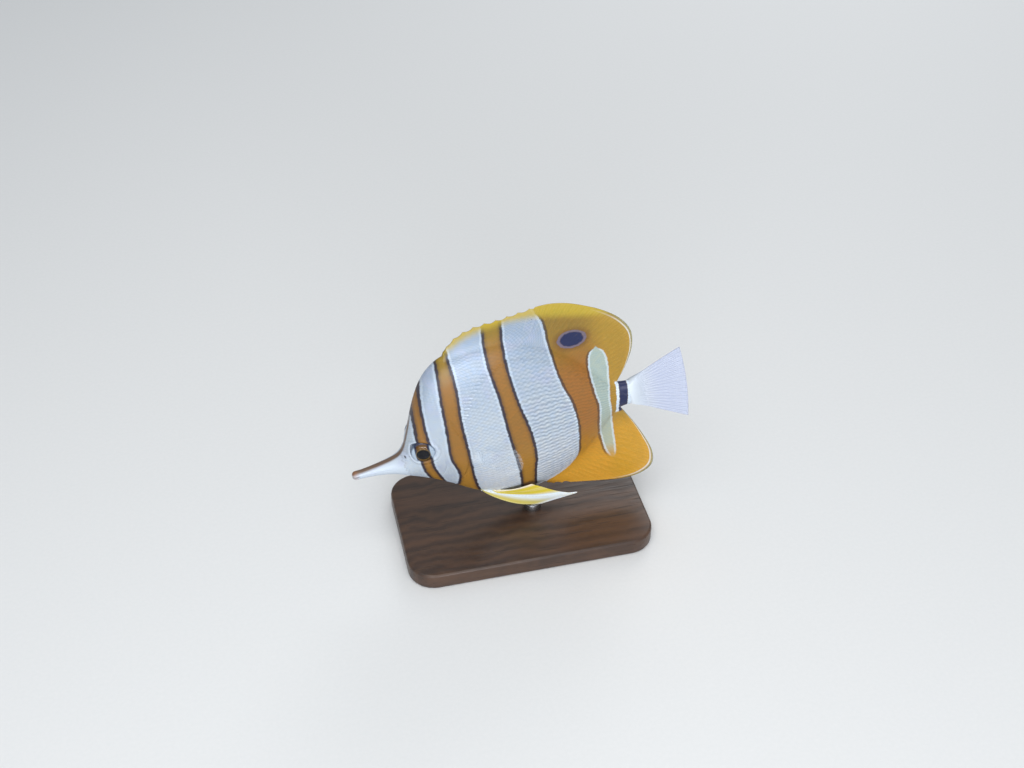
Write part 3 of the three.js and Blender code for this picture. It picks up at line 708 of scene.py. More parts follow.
def clear_fin(name, tint, ray_colour, cover, root_out):
    """Clear, almost colourless membrane like wet cellophane, stretched between milky rays."""
    mix = new_material(name)
    _, out, ridge = mix.read("fin")
    on_ray = mix.edge(ridge, 0.15, 0.8)
    mix.colour = mix.blend(tint, ray_colour, on_ray)
    joints = cane_joints(mix, out, on_ray, "#8F99A8", 0.08, often=150.0)
    # A silver-white base: on the tail fin its own silvery fleshy root, on the pectoral fin a painted
    # highlight where light gleams on its base
    root = mix.edge(out, root_out, 0.02)
    mix.lay(SILVER_WHITE, root)
    cover = mix.add("MapRange", {"Value": on_ray, "To Min": cover[0], "To Max": cover[1]})
    return mix.finish({
        "Roughness": mix.edge(ridge, -1.4, 2.6),
        "IOR": 1.38,
        "Alpha": mix.add("Math", {0: cover, 1: root}, operation="MAXIMUM"),
        "Coat Weight": 0.12,
        "Coat Roughness": 0.2,
        "Normal": joints,
    })


def pelvic_membrane():
    """Yellow membrane with a bluish white streak that runs out to the tip."""
    mix = new_material("pelvic_fin_membrane")
    ray, out, ridge = mix.read("fin")
    mix.colour = mix.blend("#C0B154", "#DCE8F2", mix.edge(ray, 0.2, 0.9))
    mix.lay("#CDB93A", mix.edge(ray, 2.3, 3.3))
    mix.lay("#EADFC8", mix.edge(ray, 4.55, 4.95))
    mix.lay("#E9F1F8", mix.edge(out, 0.8, 1.0), mix.edge(ray, 2.4, 1.4))
    mix.lay("#F2E9B8", mix.edge(ridge, 0.3, 1.0), 0.3)
    joints = cane_joints(mix, out, mix.edge(ridge, 0.4, 0.9), "#6E5A1C", 0.25, often=170.0)
    return mix.finish({
        "Roughness": mix.edge(ridge, 2.4, -1.4),
        "IOR": 1.4,
        "Subsurface Weight": 0.15,
        "Subsurface Radius": (0.0015, 0.0012, 0.0008),
        "Coat Weight": 0.12,
        "Coat Roughness": 0.25,
        "Normal": joints,
    })


def iris():
    """The eye under its cornea: a black pupil with a thin gold rim, a silver iris crossed by
    the copper band, and a dark outer ring."""
    mix = new_material("silvered_iris")
    place = mix.add("Attribute", None, "Vector", attribute_name="iris")
    fore, _, far = mix.add("SeparateXYZ", {0: place}).node.outputs
    fibres = {"Vector": place, "Scale": 14.0, "Detail": 5.0, "Roughness": 0.7}
    fibres = mix.add("TexNoise", fibres)
    from_band = mix.add("Math", {0: fore}, operation="ABSOLUTE")
    mix.colour = mix.blend("#C3D1DE", "#8FA3B8", mix.edge(fibres, 0.35, 0.7))
    copper = mix.blend("#7A5522", "#3E2C14", mix.edge(fibres, 0.3, 0.65))
    mix.lay(copper, mix.edge(from_band, 0.56, 0.44))
    mix.lay(NAVY, mix.line(from_band, 0.5, 0.12), 0.9)
    mix.lay("#33405A", mix.edge(far, 0.84, 0.95), 0.8)
    mix.lay("#A98F52", mix.line(far, 0.545, 0.03), 0.5)
    pupil = mix.edge(far, 0.54, 0.51)
    mix.lay("#03050E", pupil)
    return mix.finish({
        "Metallic": mix.add("MapRange", {"Value": pupil, "To Min": 0.3, "To Max": 0.0}),
        "Roughness": mix.edge(fibres, -0.4, 1.6),
        "IOR": 1.33,
        "Specular IOR Level": 0.12,
        "Coat Weight": 0.35,
        "Coat Roughness": 0.03,
    })


def cornea():
    """The clear dome of the eye, like wet glass. It bends light as water-filled tissue does."""
    mix = new_material("clear_cornea")
    place = mix.add("TexCoord", None, "Object")
    haze = mix.add("TexNoise", {"Vector": place, "Scale": 900.0, "Detail": 2.0})
    mix.colour = "#FFFFFF"
    return mix.finish({
        "Roughness": mix.product(haze, 0.03),
        "IOR": 1.376,
        "Transmission Weight": 1.0,
        "Alpha": 0.1,
        "Coat Weight": 1.0,
        "Coat Roughness": 0.02,
    })


def oiled_walnut():
    """Dark walnut, planed and oiled: long grain with darker pores and a low satin sheen."""
    mix = new_material("oiled_walnut")
    place = mix.add("TexCoord", None, "Object")
    long_grain = mix.add("Mapping", {"Vector": place, "Scale": (1.0, 9.0, 9.0)})
    wander = mix.add("TexNoise", {"Vector": long_grain, "Scale": 14.0, "Detail": 4.0})
    # Growth rings about 6 mm apart
    waves = {"Vector": place, "Scale": 55.0, "Distortion": 7.0, "Detail": 3.0, "Detail Scale": 1.2}
    rings = mix.add("TexWave", waves, wave_type="BANDS", bands_direction="Y")
    fine_grain = mix.add("Mapping", {"Vector": place, "Scale": (60.0, 1600.0, 1600.0)})
    pores = mix.add("TexNoise", {"Vector": fine_grain, "Scale": 1.0, "Detail": 2.0})
    pore = mix.edge(pores, 0.62, 0.72)
    mix.colour = mix.blend("#453022", "#33231A", rings)
    mix.lay("#5E4230", mix.edge(wander, 0.4, 0.75), 0.55)
    mix.lay("#1A100B", pore, 0.7)
    relief = {"Strength": 0.4, "Distance": 0.0001, "Height": pore}
    return mix.finish({
        "Roughness": mix.edge(pores, -0.5, 1.7),
        "IOR": 1.5,
        "Coat Weight": 0.12,
        "Coat Roughness": 0.3,
        "Normal": mix.add("Bump", relief, invert=True),
    })


def turned_steel():
    """Satin stainless steel, turned on a lathe: fine rings that draw the light out in a
    line."""
    mix = new_material("turned_stainless_steel")
    place = mix.add("TexCoord", None, "Object")
    # Tool marks, really 0.05 mm apart, drawn 0.25 mm apart so that they show
    turned = mix.add("Mapping", {"Vector": place, "Scale": (60.0, 60.0, 4000.0)})
    marks = mix.add("TexNoise", {"Vector": turned, "Scale": 1.0, "Detail": 3.0})
    mix.colour = mix.blend("#B9BBBD", "#A4A7AA", marks)
    return mix.finish({
        "Metallic": 1.0,
        "Roughness": mix.add("MapRange", {"Value": marks, "To Min": 0.2, "To Max": 0.36}),
        "Anisotropic": 0.5,
        "Normal": mix.add("Bump", {"Strength": 0.2, "Distance": 0.00002, "Height": marks}),
    })


def matt_paper():
    """Pale matt paper with a faint tooth, which takes a soft shadow and no shine."""
    mix = new_material("pale_matt_paper")
    place = mix.add("TexCoord", None, "Object")
    tooth = mix.add("TexNoise", {"Vector": place, "Scale": 600.0, "Detail": 3.0})
    mix.colour = mix.blend("#DFE1E2", "#E5E6E7", tooth)
    return mix.finish({"Roughness": 0.9})


SKIN = moist_skin()
SCALES = ctenoid_scales()
MEDIAN_FIN = rayed_fin()
TAIL_FIN = clear_fin("clear_tail_fin", "#B4BFDC", "#C0C9E0", cover=(0.42, 0.54), root_out=0.6)
SIDE_FIN = clear_fin("clear_pectoral_fin", "#C9D6E2", "#D3DEE8", cover=(0.03, 0.1), root_out=0.34)
PELVIC_FIN = pelvic_membrane()
IRIS = iris()
CORNEA = cornea()
WALNUT = oiled_walnut()
STEEL = turned_steel()


# The body

SKIN_RINGS, SKIN_AROUND, RING_STEPS = 400, 168, 4001
# How much closer the rings lie at the face, the snout's tip and the tail's end
FACE_CLOSER = {"more": 1.1, "at": 24, "long": 12}
TIP_CLOSER = [(14, 0.7), (5, 3)]
END_CLOSER = (6, 0.8)


def body_skin():
    """One skin over snout, head, trunk and tail stem, finer on the lips and the face."""
    bm = bmesh.new()
    bmesh.ops.create_uvsphere(bm, u_segments=SKIN_AROUND, v_segments=SKIN_RINGS, radius=1)
    ball = coordinates(bm)
    along = np.arccos(np.clip(-ball[:, 2], -1, 1)) / math.pi
    angle = np.arctan2(ball[:, 1], ball[:, 0])
    xs = np.linspace(0, FLESH_END, RING_STEPS)
    closeness = 1 + FACE_CLOSER["more"] * hump(xs, FACE_CLOSER["long"], FACE_CLOSER["at"])
    for more, long in TIP_CLOSER:
        closeness += more * np.exp(-xs / long)
    closeness += END_CLOSER[0] * np.exp(-(FLESH_END - xs) / END_CLOSER[1])
    total = np.concatenate([[0], np.cumsum((closeness[1:] + closeness[:-1]) / 2)])
    points = skin_surface(np.interp(along, total / total[-1], xs), angle)
    piece("body_skin", bm, points, SKIN, ("snout", "head", "trunk", "tail_stem"))


body_skin()


# Scales

ROW_PITCH = [
    (18, 0.9), (24, 1.0), (34, 1.2), (42, 1.75), (50, 2.15), (66, 2.2), (78, 1.9), (88, 1.4),
    (96, 1.05), (101, 0.9),
]
COLUMN_PITCH = 0.62
EVEN_ROWS, ROWS_FALL, MOST_ROWS = 10.0, 32.0, 60
SCALES_FROM, SCALES_TO, HEAD_SCALES_TO = 17.4, 99.6, 45.0
SCALE_SEED, SCALE_JITTER, LAST_SCALE_END, PAST_RIDGE = 7, 0.05, FLESH_END - 0.3, 0.1
# Lengths and heights of a scale in steps of its columns and rows
OVERLAP_LONG, OVERLAP_TALL = 2.3, 1.12
SCALE_LIFT, LEAST_LIFT, MOST_LIFT = 0.048, 0.45, 1.1
MUZZLE_LIFT, FULL_LIFT = 0.16, (18, 28)
TUBE = {"rise": 0.16, "wide": 0.13}
PLATE = {
    "root": 0.25, "tip": 0.75, "droop": 0.22, "waist": 0.62, "swell": 0.42, "round": 0.3,
    "swell_long": 1.15, "swell_full": 0.6, "rim_from": 0.3, "rim_z": -0.6, "rim_in": 0.97,
}
BARE = {"eye": 5.0, "gill": (-0.65, 1.3), "gill_z": (-17, 14), "nostril": 1.4}
MUZZLE = {"bare_to": 17.6, "slant": 0.1, "ragged": 1.3}
UV_PATCH = 0.003
UNWRAP = {"from": 16.0, "long": 86.0, "high": 62.0, "left": 0.03, "wide": 0.94, "tall": 0.46}

row_pitch = smooth_through(ROW_PITCH)


def row_place(k):
    """Rows are even along the flank and crowd together towards back and belly."""
    size = np.abs(k)
    crowd = EVEN_ROWS + ROWS_FALL * (1 - np.exp(-(size - EVEN_ROWS) / ROWS_FALL))
    return np.sign(k) * np.where(size < EVEN_ROWS, size, crowd)


def row_share(k):
    return np.exp(-np.maximum(np.abs(k) - EVEN_ROWS, 0) / ROWS_FALL)


class Wrap:
    """Finds the angle round the body from the arc walked from its mid-side, in millimetres."""

    def __init__(self, rings=405, turns=240, steps=600, past_ridge=0.7, longest=75):
        self.xs = np.linspace(0, FLESH_END, rings)
        self.turn = np.linspace(0, math.pi / 2 + past_ridge, turns)
        self.walk = np.linspace(0, longest, steps)
        x, turn = np.meshgrid(self.xs, self.turn, indexing="ij")
        rounded = end_rounding(x)
        z = (back(x) - belly(x)) / 2 * rounded * np.sin(turn)
        y = half_width(x) * rounded * np.abs(np.cos(turn)) ** keen(x) * np.sign(np.cos(turn))
        step = np.hypot(np.diff(pc(y), axis=1), np.diff(pc(z), axis=1))
        self.arcs = np.concatenate([np.zeros((len(self.xs), 1)), step.cumsum(1)], 1)
        self.table = np.stack([np.interp(self.walk, row, self.turn) for row in self.arcs])

    def angle(self, x, arc):
        rows, columns = self.table.shape
        row = np.clip(x / FLESH_END * (rows - 1), 0, rows - 1.001)
        column = np.clip(np.abs(arc) / self.walk[-1] * (columns - 1), 0, columns - 1.001)
        i, j = row.astype(int), column.astype(int)
        a, b = row - i, column - j
        lower = self.table[i, j] * (1 - b) + self.table[i, j + 1] * b
        upper = self.table[i + 1, j] * (1 - b) + self.table[i + 1, j + 1] * b
        return np.sign(arc) * (lower * (1 - a) + upper * a)

    def reach(self, x):
        """The arc from mid-side to the ridge of the back."""
        quarter = np.searchsorted(self.turn, math.pi / 2)
        return np.interp(x, self.xs, self.arcs[:, quarter])


wrap = Wrap()


def scale_plate():
    """One scale: a thin shield, rooted at 0 and free at 1, with its rim turned down. Its
    height is 1 at the free edge."""
    bm = bmesh.new()
    bmesh.ops.create_grid(bm, x_segments=4, y_segments=4, size=0.5)
    for v in bm.verts:
        along, across = v.co.x + 0.5, v.co.y * 2
        bulge = math.sin(math.pi * min(1, along * PLATE["swell_long"])) ** PLATE["swell_full"]
        wide = PLATE["waist"] + PLATE["swell"] * bulge
        rounded = 1 - PLATE["round"] * across * across * along
        high = PLATE["root"] + PLATE["tip"] * along - PLATE["droop"] * across**2
        v.co = Vector((along * rounded, across * wide / 2, high))
    rim = [e for e in bm.edges if e.is_boundary]
    rim = [e for e in rim if max(v.co.x for v in e.verts) > PLATE["rim_from"]]
    lowered = bmesh.ops.extrude_edge_only(bm, edges=rim)
    for v in [g for g in lowered["geom"] if isinstance(g, bmesh.types.BMVert)]:
        v.co.z = PLATE["rim_z"]
        v.co.x = 0.5 + (v.co.x - 0.5) * PLATE["rim_in"]
    bm.verts.index_update()
    points = coordinates(bm)
    faces = [[v.index for v in f.verts] for f in bm.faces]
    bm.free()
    return points, faces


PLATE_POINTS, PLATE_FACES = scale_plate()
PLATE_X, PLATE_Y, PLATE_Z = PLATE_POINTS.T[:, None]


def joined_plates(kind, tag, own_points, chances, roots, rows):
    """own_points is (scales, points of a plate, 3) in millimetres. roots are places on the
    skin's unwrap, 0 to 1. rows counts the rows of scales up the side at each point."""
    name = f"{kind}_{tag}"
    count, size = own_points.shape[:2]
    corners = np.array([c for f in PLATE_FACES for c in f])
    sides = np.array([len(f) for f in PLATE_FACES])
    mesh = bpy.data.meshes.new(name)
    loops = (corners[None] + size * np.arange(count)[:, None]).ravel()
    starts = np.concatenate([[0], np.cumsum(sides)[:-1]])
    starts = (starts[None] + len(corners) * np.arange(count)[:, None]).ravel()
    mesh.vertices.add(count * size)
    mesh.loops.add(len(loops))
    mesh.polygons.add(len(starts))
    flat = own_points.reshape(-1, 3)
    mesh.vertices.foreach_set("co", in_frame(flat).astype(np.float32).ravel())
    mesh.loops.foreach_set("vertex_index", loops.astype(np.int32))
    mesh.polygons.foreach_set("loop_start", starts.astype(np.int32))
    mesh.update(calc_edges=True)
    plate = np.tile(PLATE_POINTS, (count, 1))
    plate[:, 2] = np.repeat(chances, size)
    for layer, values in (("lie", as_percent(flat)), ("plate", plate), ("row", rows.ravel())):
        set_layer(mesh, layer, values)
    patch = (PLATE_POINTS[None, :, :2] - (0.5, 0.0)) * UV_PATCH + roots[:, None, :]
    unwrap = mesh.uv_layers.new(name="OFBake")
    unwrap.data.foreach_set("uv", patch.reshape(-1, 2)[loops].astype(np.float32).ravel())
    # A sharp rim keeps the shading of each scale's face even out to its edge
    mesh.shade_smooth()
    mesh.set_sharp_from_angle(angle=SHARP)
    if tag == "right":
        mesh.flip_normals()
    place_piece(name, mesh, SCALES)


def lifted_off(x, arc, lift):
    """Points lifted off the skin by lift millimetres, on the left side."""
    nudge = 0.12
    at = skin_surface(x, wrap.angle(x, arc))
    ahead = skin_surface(x + nudge, wrap.angle(x + nudge, arc))
    up = skin_surface(x, wrap.angle(x, arc + nudge))
    normal = np.cross(ahead - at, up - at)
    normal /= np.maximum(np.linalg.norm(normal, axis=-1, keepdims=True), 1e-9)
    return at + normal * lift[..., None]


def scale_roots():
    """Where each scale of a side is rooted, column by column: x, arc, the pitches of its rows
    and columns, and its row's number."""
    roots = []
    x, column = SCALES_FROM, 0
    while x < SCALES_TO:
        pitch, limit = float(row_pitch(x)), float(wrap.reach(x))
        k = np.arange(-MOST_ROWS, MOST_ROWS + 1) + (0.5 if column % 2 else 0.0)
        arc = row_place(k) * pitch
        tall, even = pitch * row_share(k), np.full(len(k), pitch)
        whole = np.stack([np.full(len(k), x), arc, tall, even, k], -1)
        roots.append(whole[np.abs(arc) < limit + PAST_RIDGE])
        x += COLUMN_PITCH * as_percent(pitch)
        column += 1
    return np.concatenate(roots)


def body_scales():
    """Scales of head and flank, in rows that follow the body."""
    rng = np.random.default_rng(SCALE_SEED)
    roots = scale_roots()
    roots[:, 0] += rng.normal(0, SCALE_JITTER, len(roots))
    place = as_percent(skin_surface(roots[:, 0], wrap.angle(roots[:, 0], roots[:, 1])))
    px, pz = place[:, 0], place[:, 2]
    in_front = gill_edge(pz) - px
    bare = (in_front > BARE["gill"][0]) & (in_front < BARE["gill"][1])
    bare &= (pz > BARE["gill_z"][0]) & (pz < BARE["gill_z"][1])
    bare |= np.hypot(px - EYE["x"], pz - EYE["z"]) <= BARE["eye"]
    for at_x, at_z, across in NOSTRILS:
        bare |= np.hypot(px - at_x, pz - at_z) < BARE["nostril"] * across
    ragged = MUZZLE["ragged"] * rng.random(len(px))
    bare |= px < MUZZLE["bare_to"] + MUZZLE["slant"] * np.abs(pz) + ragged
    roots, px, pz = roots[~bare], px[~bare], pz[~bare]

    x, arc, tall, pitch, row = (column[:, None] for column in roots.T)
    lift = SCALE_LIFT * np.clip(pitch / 2, LEAST_LIFT, MOST_LIFT)
    lift = lift * (MUZZLE_LIFT + (1 - MUZZLE_LIFT) * ease(*FULL_LIFT, px[:, None]))
    tubed = np.abs(pz - lateral_line(px)) < as_percent(tall[:, 0]) / 2
    tubed &= (px > LATERAL_LINE[0][0]) & (px < LATERAL_LINE[-1][0])
    tube = TUBE["rise"] * tubed[:, None] * hump(PLATE_Y, TUBE["wide"]) * (PLATE_Z > 0)
    plate_x = x + as_percent(PLATE_X * OVERLAP_LONG * COLUMN_PITCH * pitch)
    plate_arc = arc + PLATE_Y * OVERLAP_TALL * tall
    left = lifted_off(np.clip(plate_x, 0, LAST_SCALE_END), plate_arc, PLATE_Z * lift + tube)
    unwrap_x = UNWRAP["left"] + UNWRAP["wide"] * (x - UNWRAP["from"]) / UNWRAP["long"]
    unwrap_z = 0.5 + UNWRAP["tall"] * arc / UNWRAP["high"]
    unwrap = np.concatenate([unwrap_x, unwrap_z], -1)
    rows = row + OVERLAP_TALL * PLATE_Y
    on_head = roots[:, 0] < HEAD_SCALES_TO
    for tag, plates in (("left", left), ("right", left * (1, -1, 1))):
        chances = rng.random(len(roots))
        for region, here in (("head", on_head), ("flank", ~on_head)):
            kept = (part[here] for part in (plates, chances, unwrap, rows))
            joined_plates(f"{region}_scales", tag, *kept)


body_scales()


# Fins

DORSAL = {
    "grid": (420, 54), "spiny_share": 0.33, "fork": (0.5, 0.2), "soft_from": (0.3, 0.62),
    "scale_columns": 66, "scale_seed": 11,
}
DORSAL_SPINES = {
    "rays": 9, "spines": 9, "spine_radius": 0.5, "spine_past": 0.4, "root": (39.8, 67.35),
    "bow": -0.02, "notch": (0.1, 0.04),
    "margin": [(41.4, 38.6), (46.5, 43), (53, 44.9), (61, 45), (68, 45.5), (73.55, 45.9)],
}
DORSAL_RAYS = {
    "rays": 28, "root": (67.35, 93.4), "bow": -0.03,
    "margin": [
        (73.55, 45.9), (78.5, 45.7), (84, 44.2), (89.5, 41.5), (95, 38), (99.8, 33.4),
        (102.7, 27.6), (102.4, 21), (100.4, 15.2), (97.9, 10.4), (95.6, 7),
    ],
}
ANAL = {
    "grid": (300, 54), "rays": 22, "spines": 3, "spine_radius": 0.62, "spine_past": 0.5,
    "root": (62.6, 93.4), "bow": 0.03, "notch": 0.1, "fork": (0.5, 0.2), "soft_from": (0.3, 0.5),
    "scale_columns": 38, "scale_seed": 12,
    "margin": [
        (65.4, -33.8), (70, -35.4), (77, -37.4), (84, -39.2), (91.6, -40.6), (98, -40),
        (102.6, -36.6), (103.6, -30.2), (101.7, -22.2), (98.8, -14), (95.8, -7.2),
    ],
}
CAUDAL = {
    "grid": (238, 54), "rays": 17, "fork": (0.38, 0.22), "ray_rise": 0.14, "root_x": 98.8,
    "root_high": 4.2, "rear_x": 118.6, "rear_high": 16, "crown": 0.9, "fleshy_to": 0.36,
    "half": 0.13, "rays_from": (0.04, 0.2), "border": 0.12, "border_wide": 0.02,
}
PECTORAL = {
    "grid": (196, 46), "rays": 14, "fork": (0.45, 0.2), "ray_rise": 0.1, "upper": (40.8, -0.2),
    "lower": (42, -7), "sink": 1.3, "long": 21.5, "along": (0.83, -0.3, 0.47),
    "fan": (0.34, -0.62), "half": (0.75, 0.09), "fleshy_to": 0.4, "cup": -0.9, "flare": 2.4,
    "lower_short": (0.55, 1.6), "upper_short": (0.22, 4),
}
PELVIC = {
    "grid": (120, 60), "fork": (0.45, 0.13), "ray_rise": 0.14, "from": (41, -24.8),
    "to": (44.2, -26.6), "root_out": 1.9, "half": (0.85, 0.12), "fleshy_to": 0.6,
    "spine": 0.42, "spine_wide": 0.22, "sag": 2.6, "aside": 1.2,
    "tips": [
        (60.5, -38, 4.6), (73.4, -36.2, 6), (70.4, -34.9, 6), (66.6, -32.6, 5.9),
        (62.8, -29.4, 5.8), (58.8, -26, 5.7),
    ],
}
FIN_SCALES = {
    "rows": 19, "reach": 0.84, "crowd": 0.25, "lift": 0.024, "lower": 0.7, "tall": (1.15, 0.8),
    "under_skin": 0.8, "unwrap": (0.04, 0.96),
}
# The dorsal and anal fins: half their thickness, which thins at the margin, and their rays
MEMBRANE = {"half": 0.16, "thinner": 0.35, "from": (0.7, 1), "rise": 0.12, "rays_from": (0.25, 0.5)}
ROOT_SINK, BLEND_DEEP = 2.6, 1.6
# How much of a ray's height and width is lost on the way out, and how far its forks reach
RAY_FALL, RAY_WIDE, RAY_THINNER = 0.6, 0.17, 0.42
FORK_LONG, SECOND_FORK, FORK_THIN = 0.35, 0.28, 0.2
# How far a notch between two spines leans to the next one, and how full it is
NOTCH_LEAN, NOTCH_FULL = 1.35, 0.8
LEAST_FLARE, INNER_SLOPE = 0.05, 0.08
SIDEWAYS = np.array([0.0, 1.0, 0.0])
# Where the spines stand in the fin layer: on a ray, low down and clear of the hem
SPINE_LAYER = (0.5, 0.3, 0.75)
SPINE_SIDES, SPINE_TIP, SPINE_FROM = 12, 0.1, 0.06


def curve_through(points, t):
    """The curve through points that are evenly spaced in t from 0 to 1, each slope taken from
    its neighbours."""
    points = np.asarray(points, float)
    last = len(points) - 1
    at = np.clip(np.asarray(t, float), 0, 1) * last
    i = np.minimum(at.astype(int), last - 1)
    w = (at - i)[..., None]
    p0, p1 = points[np.maximum(i - 1, 0)], points[i]
    p2, p3 = points[i + 1], points[np.minimum(i + 2, last)]
    v0, v1 = (p2 - p0) / 2, (p3 - p1) / 2
    cubic, square = 2 * p1 - 2 * p2 + v0 + v1, -3 * p1 + 3 * p2 - 2 * v0 - v1
    return cubic * w**3 + square * w**2 + v0 * w + p1


def along_margin(points):
    """The curve through points, as a function of the share of its length."""
    t = np.linspace(0, 1, 801)
    curve = curve_through(points, t)
    length = np.concatenate([[0], np.linalg.norm(np.diff(curve, axis=0), axis=1).cumsum()])
    return lambda u: curve_through(points, np.interp(u, length / length[-1], t))


def between(ends, share):
    return ends[0] + (ends[1] - ends[0]) * share


def ray_ridge(place, out, fork, spread):
    """1 on a ray's middle line and 0 between rays. A soft ray forks at fork and again
    further out."""
    phase = place - np.floor(place) - 0.5
    first = spread * ease(fork, fork + FORK_LONG, out)
    second = spread / 2 * ease(fork + SECOND_FORK, 1.0, out)
    wide = RAY_WIDE * (1 - RAY_THINNER * ease(fork, fork + FORK_THIN, out))
    lines = [a * first + b * second for a in (-1, 1) for b in (-1, 1)]
    return np.max([hump(phase + line, wide) for line in lines], axis=0)


def sheet_mesh(columns, rows):
    """Two grids back to back, joined round their rims. Gives the mesh with each point's
    place across 0 to 1, out 0 to 1 and side 1 or -1."""
    bm = bmesh.new()
    bmesh.ops.create_grid(bm, x_segments=columns, y_segments=rows, size=0.5)
    copied = bmesh.ops.duplicate(bm, geom=bm.verts[:] + bm.edges[:] + bm.faces[:])["geom"]
    for v in [g for g in copied if isinstance(g, bmesh.types.BMVert)]:
        v.co.z = -1
    bmesh.ops.bridge_loops(bm, edges=[e for e in bm.edges if e.is_boundary])
    points = coordinates(bm)
    return bm, points[:, 0] + 0.5, points[:, 1] + 0.5, np.where(points[:, 2] < -0.5, -1.0, 1.0)


def closed_fin(name, grid, shape, material, replaced, spines=(), radius=0.0):
    """shape(u, v) gives the middle points, the way across, the half thickness and the two fin
    layers at each place. spines are pairs of ends in millimetres."""
    bm, u, v, side = sheet_mesh(*grid)
    middle, across, half, layer, soft = shape(u, v)
    for vert, point in zip(bm.verts, middle + across * (side * half)[:, None]):
        vert.co = point
    for start, end in spines:
        along = Vector(end) - Vector(start)
        turn = along.to_track_quat("Z", "Y").to_matrix().to_4x4()
        shift = Matrix.Translation((Vector(start) + Vector(end)) / 2)
        bmesh.ops.create_cone(
            bm, cap_ends=True, segments=SPINE_SIDES, radius1=radius, radius2=SPINE_TIP * radius,
            depth=along.length, matrix=shift @ turn,
        )
    added = len(bm.verts) - len(u)
    layer = np.concatenate([layer, np.tile(SPINE_LAYER, (added, 1))])
    soft = np.concatenate([soft, np.zeros(added)])
    layers = {"fin": layer, "soft": soft}
    piece(name, bm, coordinates(bm), material, replaced, layers)


def middle_fin(fin, profile, sink):
    """The place of a fin of the middle plane: (x, z) in millimetres at u along, v out."""
    margin = along_margin(fin["margin"])

    def place(u, v):
        x = between(fin["root"], u)
        root = np.stack([pc(x), pc(profile(x) + sink)], -1)
        ray = pc(margin(u)) - root
        across = np.stack([-ray[..., 1], ray[..., 0]], -1)
        bow = fin["bow"] * np.sin(math.pi * v)
        return root + ray * v[..., None] + across * bow[..., None]

    return place


def fin_spines(fin, place):
    """The ends of a fin's spines, which run a little past the membrane."""
    spines = []
    for k in range(fin["spines"]):
        u = np.full(2, (k + 0.5) / fin["rays"])
        low, tip = place(u, np.array([SPINE_FROM, 1.0]))
        past = tip + (tip - low) / np.linalg.norm(tip - low) * fin["spine_past"]
        spines.append(((low[0], 0, low[1]), (past[0], 0, past[1])))
    return spines


def membrane_notch(place, deep):
    """How much of a spiny membrane's height is missing: least behind each spine, most in
    front of the next."""
    phase = place - 0.5 - np.floor(place - 0.5)
    return deep * np.sin(math.pi * np.clip(phase, 0, 1) ** NOTCH_LEAN) ** NOTCH_FULL


def flared(x, z, profile, thin):
    """Half the thickness of a fin of the middle plane, in millimetres: it leaves the side of
    the body at BLEND_DEEP inside the line of the back or belly, and thins outwards."""
    way = 1.0 if profile is back else -1.0
    line = profile(x)
    beyond = pc(way * (z - line) + BLEND_DEEP)
    leaving = pc(side_out(x, line - way * BLEND_DEEP))
    nudge = 0.2
    slope = (pc(side_out(x, line - way * (BLEND_DEEP + nudge))) - leaving) / pc(nudge)
    extra = np.maximum(leaving - thin, LEAST_FLARE)
    outside = thin + extra * np.exp(-np.maximum(beyond, 0) * slope / extra)
    inside = pc(side_out(x, z))
    return np.where(beyond < 0, np.minimum(inside + INNER_SLOPE * beyond, inside), outside)


def upright(flat, profile, place, v, ridge, soft):
    """A fin of the middle plane as closed_fin takes it, from its (x, z) in millimetres."""
    x, z = as_percent(flat).T
    half = flared(x, z, profile, MEMBRANE["half"])
    half = half * (1 - MEMBRANE["thinner"] * ease(*MEMBRANE["from"], v))
    half += MEMBRANE["rise"] * ridge * (1 - RAY_FALL * v) * ease(*MEMBRANE["rays_from"], v)
    middle = np.stack([flat[:, 0], np.zeros(len(v)), flat[:, 1]], -1)
    return middle, SIDEWAYS, half, np.stack([place, v, ridge], -1), soft


def fin_scales(kind, fin, shape):
    """Small scales over the inner part of a fin of the middle plane, on both faces, which
    get smaller outwards."""
    rng = np.random.default_rng(fin["scale_seed"])
    columns, rows = fin["scale_columns"], FIN_SCALES["rows"]
    reach, crowd = FIN_SCALES["reach"], FIN_SCALES["crowd"]
    row, column = np.divmod(np.arange(rows * columns), columns)
    share = row / rows
    root_u = (column + 0.5 * (row % 2) + 0.25) / columns
    root_v = reach * ((1 + crowd) * share - crowd * share**2)
    tall = OVERLAP_LONG * reach / rows * between(FIN_SCALES["tall"], root_v / reach)
    u = np.clip(root_u[:, None] + PLATE_Y * OVERLAP_TALL / columns, 0, 1)
    v = np.clip(root_v[:, None] + PLATE_X * tall[:, None], 0, 1)
    middle, across, half, *_ = shape(u.ravel(), v.ravel())
    lift = (FIN_SCALES["lift"] * (1 - FIN_SCALES["lower"] * v) * PLATE_Z).ravel()
    unwrap = between(FIN_SCALES["unwrap"], np.stack([root_u, root_v], -1))
    for tag, side in (("left", -1), ("right", 1)):
        own = middle + across * (side * (half + lift))[:, None]
        own = own.reshape(*u.shape, 3)
        root = as_percent(own[:, 0])
        shown = np.abs(root[:, 1]) > side_out(root[:, 0], root[:, 2]) - FIN_SCALES["under_skin"]
        off_rows = np.full(own[shown].shape[:2], OFF_THE_FLANK)
        joined_plates(kind, tag, own[shown], rng.random(shown.sum()), unwrap[shown], off_rows)


